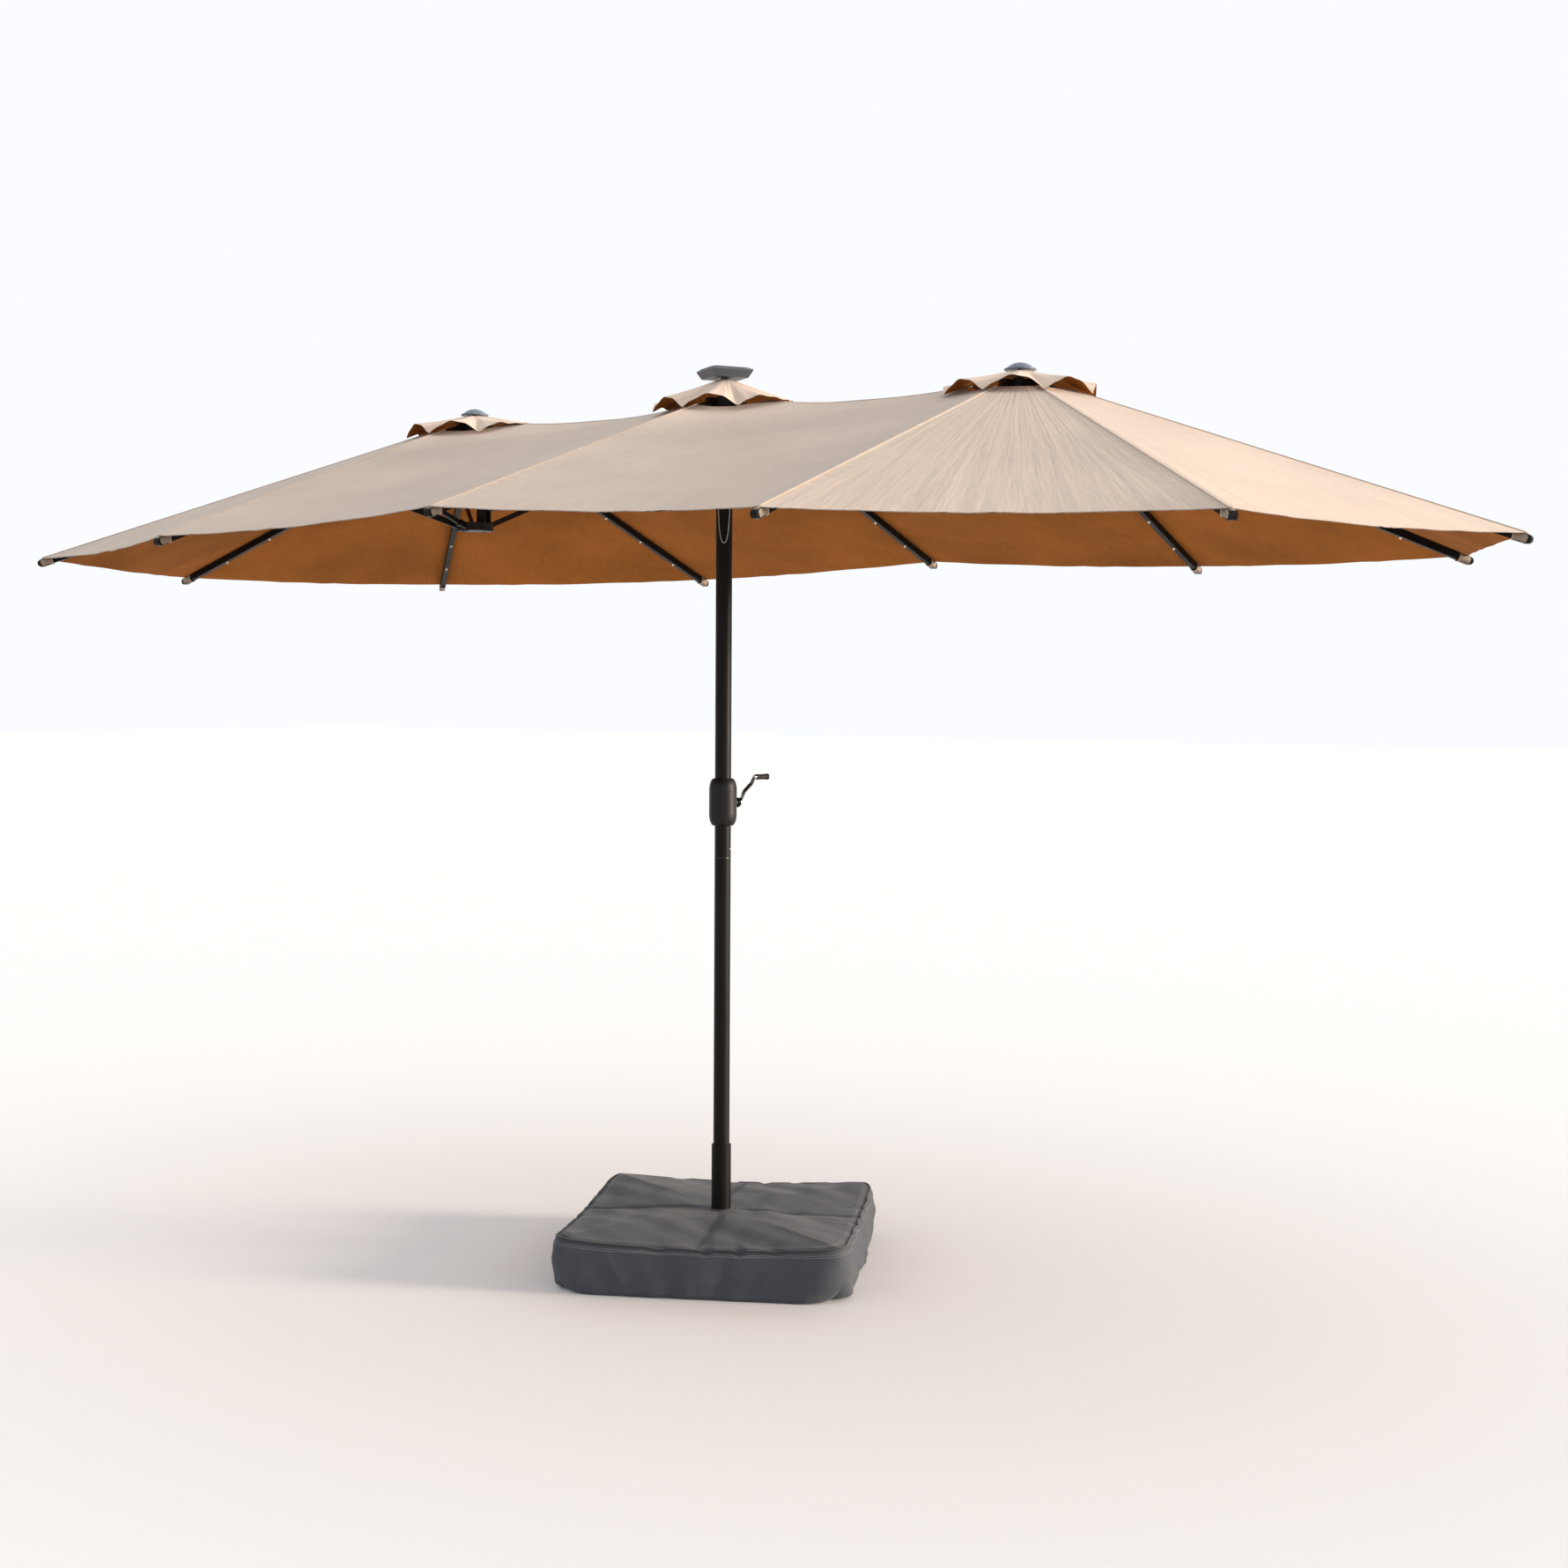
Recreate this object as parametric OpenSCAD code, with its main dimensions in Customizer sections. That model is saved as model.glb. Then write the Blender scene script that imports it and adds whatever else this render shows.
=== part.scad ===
// Twin market umbrella: one pole, two ribbed side canopies on ridge arms, a crank,
// a vented top over each hub, and a cross base under a fabric bag.
// Millimetres, +Z up, X along the long side of the canopy, -Y to the front.
// Origin: on the ground, on the axis of the pole.

/* [Canopy] */
// Distance from the pole to each side hub
hub_x = 962; // [900:1:1000]
// Tip radius of the ribs that point straight to the front and back
tip_r_square = 1279; // [1200:1:1290]
// Tip radius of the ribs to the rounded corners
tip_r_corner = 1318; // [1240:1:1330]
// Tip radius of the ribs that point to the two ends
tip_r_end = 1338; // [1260:1:1350]
// Direction of a corner rib, from the long axis
corner_deg = 43.6; // [42:0.1:46]
// Height of the rib pivots of the side hubs
side_z = 2525; // [2500:1:2540]
// Height of the rib pivots of the centre hub
centre_z = 2540; // [2530:1:2560]
// Height of the ridge arm pivots
ridge_z = 2500; // [2490:1:2504]
// Slope of the side ribs below horizontal
side_slope = 19.4; // [18:0.1:21]
// Slope of the centre ribs below horizontal
centre_slope = 18.4; // [17:0.1:20]
// Thickness of the canopy cloth
cloth_t = 1.2; // [1:0.1:2]
// Drop of the hem between two ribs
hem_drop = 9; // [0:1:20]
// Inward scallop of the hem between two ribs, as a share of its radius
hem_scallop = 0.026; // [0:0.001:0.04]
// Radius of the open top under each vent
top_hole_r = 150; // [130:1:170]

/* [Vents and tops] */
// Radius of a vent at its corners
vent_r = 214; // [200:1:225]
// Height of the arches in the free edge of a vent
vent_arch = 36; // [20:1:40]
// Width of the solar panel over the centre hub
panel_w = 126; // [110:1:140]
// Width of the dome on each side hub
dome_w = 82; // [70:1:90]

/* [Fold] */
// Slope of all ribs when the umbrella is folded
folded_slope = 84; // [80:0.5:84]
// Slope of the ridge arms when the umbrella is folded
folded_arm = 82; // [78:0.5:82]
// Distance from a side rib's pivot to its strut pin
side_strut = 470; // [440:1:480]
// Height of the lower arm pivots on the runner
lower_arm_z = 2275; // [2270:1:2280]

/* [Frame sections] */
// Width of a rib tube
rib_w = 16; // [14:1:18]
// Height of a rib tube
rib_h = 20; // [18:1:22]
// Wall of the rib and arm tubes
tube_wall = 1.2; // [1:0.1:1.5]
// Width of a ridge arm or lower arm
arm_w = 20; // [18:1:20]
// Height of a ridge arm or lower arm
arm_h = 25; // [22:1:25]

/* [Pole] */
// Outside diameter of the pole
pole_d = 48; // [46:0.5:48]
// Wall of the pole
pole_wall = 1.5; // [1.2:0.1:2]
// Height of the joint between the lower and the upper pole
pole_joint_z = 1205; // [1180:1:1210]

/* [Crank] */
// Height of the crank axle
crank_z = 1367; // [1360:1:1374]
// Direction of the crank axle, from the long axis
crank_turn = 75; // [70:1:90]
// Radius from the axle to the grip
crank_r = 91; // [80:1:95]
// Diameter of the crank housing
housing_d = 82; // [76:1:84]
// Height of the crank housing
housing_h = 140; // [130:1:150]

/* [Base] */
// Width of the fabric bag over the base
base_w = 860; // [800:5:880]
// Height of the fabric bag
base_h = 160; // [150:1:170]
// Turn of the base against the canopy
base_turn = 25; // [0:1:45]
// Outside diameter of the socket tube
socket_d = 58; // [56:0.5:60]
// Height of the socket tube's top
socket_top = 350; // [320:1:380]

/* [Hidden] */
$fn = 48;
gap = 0.3;
tiny = 0.01;
pole_r = pole_d / 2;

// hubs: a notched disc, with the pins of the bars across its notches
pivot_r = 45;
hub_r = 58;
hub_half = 13;
notch_clear = 0.5;
notch_floor = 33;
pin_r = 3;
arm_pin_r = 4;
pin_clear = 0.05;
pin_reach = 15;
arm_notch_floor = 31;
runner_notch_half = 14.5;
runner_pin_reach = 19;

// ribs and struts
knuckle_w = 20;
knuckle_l = 34;
tip_l = 34;
tip_w = 18;
tip_h = 22;
spigot_l = 30;
prong_t = 3;
prong_in = rib_w / 2 + 0.6;
prong_l = 104;
bridge_l = 12;
strut_bar_w = 10;
strut_h = 14;
lamp_r = 3;
lamp_h = 5;

// fold: a strut is as long as its pin's distance from the rib's pivot, so its
// lower end stays on the line of the lower pivots while both hubs stay level
travel = 2 * side_strut * (sin(folded_slope) - sin(side_slope));
centre_strut = travel / (2 * (sin(folded_slope) - sin(centre_slope)));
side_low_z = side_z - 2 * side_strut * sin(side_slope);
centre_low_z = centre_z - 2 * centre_strut * sin(centre_slope);
arm_l = hub_x - 2 * pivot_r;
drop_open = ridge_z - lower_arm_z;
drop_folded = drop_open + travel;
brace_at = (pow(drop_folded, 2) - pow(drop_open, 2)) / (2 * drop_folded * sin(folded_arm));
brace_l = norm([brace_at, drop_open]);
brace_tilt = atan(drop_open / brace_at);

// cloth lies over the ribs and over the ridge arms
cloth_lift = 16;
ridge_cloth_z = ridge_z + arm_h / 2 + 6.5;
cone_reach = 420;
seam_half = 0.2;
gore_rows = 10;
gore_cols = 8;
middle_cols = 16;

// centre hub, pulley and rope
sleeve_r = 27;
hub_neck_r = 33;
hub_neck_z = 2450;
pulley_z = 2468;
pulley_at = 19;
pulley_r = 12.5;
pulley_t = 6;
rope_r = 2;
rope_turn = 45;
rope_bend = 11;

// crank
axle_r = 6;
drum_r = 12.3;
drum_half = 16;
boss_r = 12;
boss_end = 62;
crank_lean = 32.5;
crank_jog = 15;
grip_l = 49;
grip_r = 8;

// runner
runner_low = 2236;
runner_high = 2290;
runner_bore = pole_r + 0.6;

// base, in its own turned frame
leg_w = 50;
leg_h = 20;
leg_l = 800;
plate_w = 160;
plate_t = 6;
bag_low = 24;
bag_high = 138;
bolt_at = 62;
socket_bore = pole_r + 0.6;
cover_t = 3;
cover_cols = 64;
cover_hole = socket_d / 2 + 2;
// each row: height, inset from the widest outline
cover_rows = [
    [0, 8], [12, 1], [50, 0], [95, 2], [base_h - 28, 6], [base_h - 10, 13],
    [base_h - 2, 24], [base_h, 42], [base_h - 3, 150], [base_h - 5, base_w / 2 - cover_hole]
];

// chain under the runner: it hangs from two points as a catenary, c (cosh(x / c) - 1)
chain_r = 1.6;
chain_from = [-1, -29.5];
chain_to = [36.5, -24.5];
chain_c = 5;
chain_half = 109;
chain_steps = 12;

SIDES = [["right", 1], ["left", -1]];
// name, direction from the outward long axis, tip radius
SPOTS = [
    ["front", -90, tip_r_square],
    ["front_corner", -corner_deg, tip_r_corner],
    ["end", 0, tip_r_end],
    ["back_corner", corner_deg, tip_r_corner],
    ["back", 90, tip_r_square]
];
centre_tip_r = tip_r_square - 5;
// name, hub's x, direction, tip radius, pivot height, slope, distance of the strut pin
RIBS = concat(
    [
        for (s = SIDES) for (p = SPOTS)
            [str(s[0], "_", p[0]), s[1] * hub_x, s[1] > 0 ? p[1] : 180 - p[1], p[2],
             side_z, side_slope, side_strut]
    ],
    [
        for (s = [["centre_front", -90], ["centre_back", 90]])
            [s[0], 0, s[1], centre_tip_r, centre_z, centre_slope, centre_strut]
    ]
);
SIDE_PARTS = [
    "ridge_arm", "ridge_brace", "lower_arm", "side_hub", "lower_hub", "dome", "vent", "canopy"
];

// ---- helpers ----

// A round bar or hole across a lever, centred on the lever
module across(r, w) {
    rotate([90, 0, 0]) cylinder(r = r, h = w, center = true);
}

// A box from x0 to x1, centred on the other two axes
module bar(x0, x1, w, h) {
    translate([x0, -w / 2, -h / 2]) cube([x1 - x0, w, h]);
}

module tube_z(z0, z1, r, wall) {
    translate([0, 0, z0])
        difference() {
            cylinder(r = r, h = z1 - z0);
            translate([0, 0, -1]) cylinder(r = r - wall, h = z1 - z0 + 2);
        }
}

// Turned to a direction and moved out to the pivot circle, at a height
module at_pivot(x, turn, z) {
    translate([x, 0, z]) rotate([0, 0, turn]) translate([pivot_r, 0, 0]) children();
}

function mix(a, b, t) = a + (b - a) * t;

// Faces of a grid of points with its far side after it; wrapped closes the columns into a ring
function grid_faces(rows, cols, wrapped) =
    let (n = rows * cols, span = wrapped ? cols : cols - 1)
    concat(
        [for (i = [0:rows - 2]) for (j = [0:span - 1])
            let (a = i * cols + j, b = i * cols + (j + 1) % cols)
            each [[a, b, b + cols], [a, b + cols, a + cols]]],
        [for (i = [0:rows - 2]) for (j = [0:span - 1])
            let (a = n + i * cols + j, b = n + i * cols + (j + 1) % cols)
            each [[a, b + cols, b], [a, a + cols, b + cols]]],
        [for (j = [0:span - 1])
            let (a = j, b = (j + 1) % cols, c = (rows - 1) * cols)
            each [[a, n + a, n + b], [a, n + b, b], [c + a, c + b, n + c + b], [c + a, n + c + b, n + c + a]]],
        wrapped ? [] : [for (i = [0:rows - 2])
            let (a = i * cols, b = a + cols, c = a + cols - 1, d = b + cols - 1)
            each [[a, b, n + b], [a, n + b, n + a], [c, n + c, n + d], [c, n + d, d]]]
    );

// A sheet of cloth: its upper surface as rows of points, and its thickness
module sheet(rows, wrapped = false) {
    top = [for (row = rows) each row];
    under = [for (p = top) p - [0, 0, cloth_t]];
    polyhedron(concat(top, under), grid_faces(len(rows), len(rows[0]), wrapped));
}

// ---- base ----

module cross_base() {
    color("#2b2b2d") rotate([0, 0, base_turn]) {
        translate([0, 0, leg_h / 2]) bar(-leg_l / 2, leg_l / 2, leg_w, leg_h);
        for (s = [0, 180])
            rotate([0, 0, 90 + s]) translate([0, 0, leg_h / 2]) bar(leg_w / 2, leg_l / 2, leg_w, leg_h);
        difference() {
            translate([-plate_w / 2, -plate_w / 2, leg_h]) cube([plate_w, plate_w, plate_t]);
            for (a = [0:90:270]) rotate([0, 0, a])
                translate([bolt_at, 0, leg_h - 1]) cylinder(r = 5.2, h = plate_t + 2);
        }
    }
}

module base_bolts() {
    color("#9a9a98") rotate([0, 0, base_turn])
        for (a = [0:90:270]) rotate([0, 0, a]) translate([bolt_at, 0, leg_h + gap]) {
            cylinder(r = 5, h = plate_t);
            translate([0, 0, plate_t]) cylinder(r = 8.5, h = 6, $fn = 6);
        }
}

module socket_tube() {
    color("#1c1b1a") difference() {
        translate([0, 0, leg_h + plate_t])
            cylinder(d = socket_d, h = socket_top - leg_h - plate_t);
        translate([0, 0, leg_h + plate_t + 6]) cylinder(r = socket_bore, h = socket_top);
    }
}

module sand_bags() {
    inner = 34;
    outer = base_w / 2 - 38;
    round_r = 26;
    color("#8d8271") rotate([0, 0, base_turn])
        for (a = [0:90:270]) rotate([0, 0, a]) difference() {
            hull() for (x = [inner + round_r, outer - round_r]) for (y = [inner + round_r, outer - round_r])
                for (z = [bag_low + round_r, bag_high - round_r]) translate([x, y, z]) sphere(r = round_r, $fn = 20);
            translate([0, 0, -1]) cylinder(r = 124, h = 200);
        }
}

// Outline of the bag at an inset: a rounded square that turns into a circle at the hole
function cover_point(turn, inset, z) =
    let (a = base_w / 2 - inset,
         k = mix(2, 9, (a - cover_hole) / (base_w / 2 - cover_hole)),
         r = a / pow(pow(abs(cos(turn)), k) + pow(abs(sin(turn)), k), 1 / k))
    [r * cos(turn), r * sin(turn), z];

module base_cover() {
    n = len(cover_rows);
    loop = concat(
        cover_rows,
        [for (i = [n - 1:-1:0]) [max(0, cover_rows[i][0] - (i > 2 ? cover_t : 0)),
                                 cover_rows[i][1] + (i < n - 1 ? cover_t : 0)]]
    );
    m = len(loop);
    points = [for (row = loop) for (j = [0:cover_cols - 1])
        cover_point(360 * j / cover_cols, row[1], row[0])];
    faces = [for (i = [0:m - 1]) for (j = [0:cover_cols - 1])
        let (a = i * cover_cols + j, b = i * cover_cols + (j + 1) % cover_cols,
             c = (i + 1) % m * cover_cols + j, d = (i + 1) % m * cover_cols + (j + 1) % cover_cols)
        each [[a, d, b], [a, c, d]]];
    color("#45454b") rotate([0, 0, base_turn]) polyhedron(points, faces);
}

// ---- pole ----

module lower_pole() {
    color("#171512") tube_z(leg_h + plate_t + 7, pole_joint_z, pole_r, pole_wall);
}

module button_hole() {
    translate([0, 0, pole_joint_z + 27]) rotate([0, 90, 0]) cylinder(r = 4.05, h = pole_r + 5);
}

module pole_coupler() {
    color("#8f8f8d") difference() {
        tube_z(pole_joint_z - 100, pole_joint_z + 100, pole_r - pole_wall - gap, 1.5);
        button_hole();
    }
}

module snap_button() {
    color("#b9b9b7") translate([0, 0, pole_joint_z + 27]) rotate([0, 90, 0]) {
        translate([0, 0, 12]) cylinder(r = 5.5, h = 4);
        translate([0, 0, 16 - tiny]) cylinder(r = 4, h = 10);
        translate([0, 0, 26 - tiny]) cylinder(r1 = 4, r2 = 2.6, h = 2.2);
    }
}

module upper_pole() {
    color("#171512") difference() {
        tube_z(pole_joint_z + 0.5, hub_neck_z - 1, pole_r, pole_wall);
        button_hole();
        translate([0, 0, crank_z]) rotate([0, 0, crank_turn]) rotate([0, 90, 0])
            cylinder(r = axle_r + 0.6, h = 2 * pole_d, center = true);
    }
}

// ---- crank ----

module crank_frame() {
    translate([0, 0, crank_z]) rotate([0, 0, crank_turn]) children();
}

module crank_housing() {
    r = housing_d / 2;
    mouth = pole_r + 3;
    half = housing_h / 2;
    end_h = 34;
    steps = 6;
    arc = [for (i = [0:steps]) let (a = 90 * i / steps) [mouth + (r - mouth) * sin(a), half - end_h * (1 - cos(a))]];
    down = [for (i = [steps:-1:0]) [arc[i][0], -arc[i][1]]];
    color("#1d1d1e") difference() {
        union() {
            translate([0, 0, crank_z + 3]) rotate_extrude()
                polygon(concat(arc, down, [[pole_r + gap, -half], [pole_r + gap, half]]));
            crank_frame() rotate([0, 90, 0]) translate([0, 0, pole_r + 4])
                cylinder(r = boss_r, h = boss_end - pole_r - 4);
        }
        crank_frame() rotate([0, 90, 0]) cylinder(r = axle_r + pin_clear, h = 100);
    }
}

// Drum and axle, and the flat arm that leans out to the grip's spindle
module crank_shaft() {
    arm_x = boss_end + 1;
    arm_t = 5;
    out_x = arm_x + crank_jog;
    bend_low = 38;
    bend_high = 66;
    color("#c9cacb") crank_frame() {
        rotate([0, 90, 0]) translate([0, 0, -22]) cylinder(r = axle_r, h = arm_x + arm_t + 24);
        rotate([0, 90, 0]) cylinder(r = drum_r, h = 2 * drum_half, center = true);
        rotate([crank_lean, 0, 0]) {
            translate([arm_x, 0, 0]) rotate([0, 90, 0]) cylinder(r = 9, h = arm_t);
            rotate([90, 0, 0]) linear_extrude(height = 12, center = true) polygon([
                [arm_x + 0.5, 0], [arm_x + arm_t - 0.5, 0], [arm_x + arm_t - 0.5, bend_low],
                [out_x + arm_t - 0.5, bend_high], [out_x + arm_t - 0.5, crank_r], [out_x + 0.5, crank_r],
                [out_x + 0.5, bend_high + 2], [arm_x + 0.5, bend_low + 2]
            ]);
            translate([out_x, 0, crank_r]) rotate([0, 90, 0]) cylinder(r = 7, h = arm_t);
            translate([out_x + 1, 0, crank_r]) rotate([0, 90, 0]) cylinder(r = 3.5, h = grip_l - 2);
        }
    }
}

module crank_grip() {
    color("#151516") crank_frame() rotate([crank_lean, 0, 0])
        translate([boss_end + 1 + crank_jog + 5.5, 0, crank_r]) rotate([0, 90, 0]) difference() {
            union() {
                cylinder(r = grip_r, h = grip_l);
                translate([0, 0, grip_l - 8]) cylinder(r = grip_r + 1, h = 8);
            }
            translate([0, 0, -1]) cylinder(r = 3.5 + pin_clear, h = grip_l - 4);
        }
}

// ---- hubs ----

// A notch from a floor radius outwards, and the pin bore across it
module notch(turn, half, low, high, floor_r, bore_z, bore_r, reach = pin_reach) {
    rotate([0, 0, turn]) {
        translate([floor_r, -half, low]) cube([hub_r, 2 * half, high - low]);
        translate([pivot_r, 0, bore_z]) across(bore_r + pin_clear, 2 * reach + 2);
    }
}

module rib_notch(turn, low, high, bore_z) {
    notch(turn, knuckle_w / 2 + notch_clear, low, high, notch_floor, bore_z, pin_r);
}

module top_hub() {
    low = hub_neck_z + 34;
    high = centre_z + 14;
    color("#1a1a1b") difference() {
        union() {
            translate([0, 0, hub_neck_z - 55]) cylinder(r = sleeve_r, h = 60);
            translate([0, 0, hub_neck_z]) cylinder(r = hub_neck_r, h = 40);
            translate([0, 0, low]) cylinder(r = hub_r, h = high - low);
        }
        translate([0, 0, hub_neck_z - 56]) cylinder(r = pole_r + 0.15, h = 56);
        for (a = [-90, 90]) rib_notch(a, low - 1, high + 1, centre_z);
        for (a = [0, 180])
            notch(a, arm_w / 2 + notch_clear, low - 1, ridge_z + arm_h / 2 + 2, arm_notch_floor, ridge_z, arm_pin_r);
        rotate([0, 0, rope_turn]) {
            translate([4.5, -pulley_t / 2 - 0.5, hub_neck_z + 2]) cube([hub_neck_r, pulley_t + 1, 32]);
            translate([4.5, -4, hub_neck_z - 1]) cube([8, 8, 4]);
            translate([sleeve_r, -4, hub_neck_z - 1]) cube([8, 8, 4]);
            translate([pulley_at, 0, pulley_z]) across(2.5 + pin_clear, 30);
        }
    }
}

module pulley() {
    color("#d8d6cf") rotate([0, 0, rope_turn]) translate([pulley_at, 0, pulley_z]) {
        rotate([90, 0, 0]) difference() {
            cylinder(r = pulley_r, h = pulley_t, center = true);
            rotate_extrude() translate([rope_bend, 0]) {
                circle(r = rope_r + 0.3, $fn = 24);
                translate([0, -rope_r - 0.3]) square([4, 2 * rope_r + 0.6]);
            }
        }
        across(2.5, 16);
    }
}

module runner() {
    lower = centre_low_z - hub_half - 1;
    color("#1a1a1b") difference() {
        translate([0, 0, runner_low]) cylinder(r = hub_r, h = runner_high - runner_low);
        translate([0, 0, runner_low - 1]) cylinder(r = runner_bore, h = 100);
        for (a = [-90, 90]) rib_notch(a, min(lower, runner_low) - 1, runner_high + 1, centre_low_z);
        for (a = [0, 180])
            notch(a, runner_notch_half, runner_low - 1, runner_high + 1, arm_notch_floor, lower_arm_z, arm_pin_r,
                  runner_pin_reach);
    }
}

module side_hub() {
    low = ridge_z - 14;
    high = side_z + hub_half;
    color("#1a1a1b") translate([hub_x, 0, 0]) difference() {
        translate([0, 0, low]) cylinder(r = hub_r, h = high - low);
        for (p = SPOTS) rib_notch(p[1], low - 1, high + 1, side_z);
        notch(180, arm_w / 2 + notch_clear, low - 1, high + 1, arm_notch_floor, ridge_z, arm_pin_r);
    }
}

module lower_hub() {
    low = side_low_z - hub_half;
    high = side_low_z + hub_half;
    plate_in = arm_w / 2 + 1;
    color("#1a1a1b") translate([hub_x, 0, 0]) difference() {
        union() {
            translate([0, 0, low]) cylinder(r = hub_r, h = high - low);
            for (s = [-1, 1])
                translate([-54, s > 0 ? plate_in : -plate_in - 4, low + 1]) cube([34, 4, lower_arm_z + 12 - low]);
        }
        for (p = SPOTS) rib_notch(p[1], low - 1, high + 1, side_low_z);
        translate([-pivot_r, 0, lower_arm_z]) across(arm_pin_r + pin_clear, 60);
    }
}

// ---- arms ----

// A square tube with a rounded knuckle at each end
module arm_bar(reach_near, reach_far, hole_at) {
    difference() {
        union() {
            for (x = [0, arm_l]) translate([x, 0, 0]) across(arm_h / 2, arm_w);
            bar(0, knuckle_l, arm_w, arm_h);
            bar(arm_l - knuckle_l, arm_l, arm_w, arm_h);
            difference() {
                bar(knuckle_l - tiny, arm_l - knuckle_l + tiny, arm_w, arm_h);
                bar(knuckle_l, arm_l - knuckle_l, arm_w - 2 * tube_wall, arm_h - 2 * tube_wall);
                translate([arm_l / 2, 0, -arm_h / 2]) cylinder(r = 3, h = 6, center = true);
            }
            across(arm_pin_r, 2 * reach_near);
            translate([arm_l, 0, 0]) across(arm_pin_r, 2 * reach_far);
        }
        if (hole_at > 0) translate([hole_at, 0, 0]) across(arm_pin_r + pin_clear, 60);
    }
}

module ridge_arm() {
    color("#161514") at_pivot(0, 0, ridge_z) arm_bar(pin_reach, pin_reach, brace_at);
}

module lower_arm() {
    color("#161514") at_pivot(0, 0, lower_arm_z) arm_bar(runner_pin_reach, pin_reach, 0);
}

// Two flat bars beside the arms, joined by their pin through the ridge arm
module ridge_brace() {
    inside = arm_w / 2 + 0.6;
    color("#161514") at_pivot(0, 0, ridge_z) translate([brace_at, 0, 0]) rotate([0, 180 - brace_tilt, 0]) {
        for (s = [-1, 1]) translate([0, s * (inside + prong_t / 2), 0]) difference() {
            union() {
                across(9, prong_t);
                bar(0, brace_l, prong_t, 18);
                translate([brace_l, 0, 0]) across(9, prong_t);
            }
            translate([brace_l, 0, 0]) across(arm_pin_r + pin_clear, 20);
        }
        across(arm_pin_r, 2 * (inside + prong_t));
    }
}

// ---- ribs and struts ----

// Along +X from its pivot: knuckle with pins, tube with the strut's bore, tip plug, lamps below
module rib_bar(length, pin_at) {
    tube_end = length - tip_l + 8;
    across(rib_h / 2, knuckle_w);
    bar(0, knuckle_l, knuckle_w, rib_h);
    bar(knuckle_l - tiny, knuckle_l + spigot_l, rib_w - 2 * tube_wall - gap, rib_h - 2 * tube_wall - gap);
    across(pin_r, 2 * pin_reach);
    difference() {
        bar(knuckle_l + gap, tube_end, rib_w, rib_h);
        bar(knuckle_l - 1, tube_end + 1, rib_w - 2 * tube_wall, rib_h - 2 * tube_wall);
        translate([pin_at, 0, 0]) across(pin_r + pin_clear, 40);
    }
    bar(tube_end - spigot_l, tube_end + gap + tiny, rib_w - 2 * tube_wall - gap, rib_h - 2 * tube_wall - gap);
    bar(tube_end + gap, length, tip_w, tip_h);
    translate([length, 0, 0]) across(tip_h / 2, tip_w);
    for (k = [0.52, 0.68, 0.84]) translate([k * length, 0, -rib_h / 2 - gap - lamp_h + lamp_r]) {
        cylinder(r = lamp_r, h = lamp_h - lamp_r);
        difference() {
            sphere(r = lamp_r, $fn = 24);
            cylinder(r = lamp_r + 1, h = lamp_r + 1);
        }
    }
}

module rib(r) {
    color("#161514") at_pivot(r[1], r[2], r[4]) rotate([0, r[5], 0])
        rib_bar((r[3] - pivot_r) / cos(r[5]), r[6]);
}

// Along +X from its pin in the rib: fork over the rib, bar, and the knuckle in the lower hub
module strut_bar(length) {
    for (s = [-1, 1]) translate([0, s * (prong_in + prong_t / 2), 0]) {
        across(8, prong_t);
        bar(0, prong_l, prong_t, strut_h);
    }
    across(pin_r, 2 * (prong_in + prong_t) - tiny);
    bar(prong_l - 6, prong_l - 6 + bridge_l, 2 * (prong_in + prong_t), strut_h);
    bar(prong_l - 6 + bridge_l - tiny, length - knuckle_l + tiny, strut_bar_w, strut_h);
    bar(length - knuckle_l, length, knuckle_w, strut_h + 4);
    translate([length, 0, 0]) across(strut_h / 2 + 2, knuckle_w);
    translate([length, 0, 0]) across(pin_r, 2 * pin_reach);
}

module strut(r) {
    color("#161514") at_pivot(r[1], r[2], r[4]) rotate([0, r[5], 0]) translate([r[6], 0, 0])
        rotate([0, 180 - 2 * r[5], 0]) strut_bar(r[6]);
}

// ---- cloth ----

// Height of the cloth over a rib at a radius
function rib_cloth(z, slope, radius) = z + cloth_lift - (radius - pivot_r) * tan(slope);
function tent(v) = 4 * v * (1 - v);

// A point of the side canopy between spot k and the next, v across and u outwards
function side_point(k, v, u) =
    let (a = SPOTS[k], b = SPOTS[k + 1],
         ra = mix(top_hole_r, a[2], u), rb = mix(top_hole_r, b[2], u),
         p = mix(ra * [cos(a[1]), sin(a[1])], rb * [cos(b[1]), sin(b[1])], v),
         z = mix(rib_cloth(side_z, side_slope, ra), rib_cloth(side_z, side_slope, rb), v),
         q = p * (1 - hem_scallop * tent(v) * u * u))
    [q[0], q[1], z - hem_drop * tent(v) * u];

module canopy_side() {
    color("#cdbdb1") translate([hub_x + seam_half, 0, 0]) sheet([
        for (i = [0:gore_rows]) concat(
            [for (k = [0:3]) for (j = [0:gore_cols - 1]) side_point(k, j / gore_cols, i / gore_rows)],
            [side_point(3, 1, i / gore_rows)])
    ]);
}

// The quarter between the centre and a side hub: columns at even x, rows from the ridge to the hem
function hole_edge(x) =
    let (d = min(abs(x), abs(hub_x - x))) d < top_hole_r ? sqrt(pow(top_hole_r, 2) - d * d) : 0;
function cone(x) = pow(max(0, 1 - x / cone_reach), 2);
function centre_line(y) = rib_cloth(centre_z, centre_slope, y);
function side_line(y) = rib_cloth(side_z, side_slope, y);
function ridge_line(x) = ridge_cloth_z + (centre_line(0) - ridge_cloth_z) * cone(x)
    + (side_line(0) - ridge_cloth_z) * cone(hub_x - x);
function hem_y(x) = mix(centre_tip_r, tip_r_square, x / hub_x) * (1 - hem_scallop * tent(x / hub_x));
function hem_line(x) = mix(centre_line(centre_tip_r), side_line(tip_r_square), x / hub_x)
    - hem_drop * tent(x / hub_x);
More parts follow.
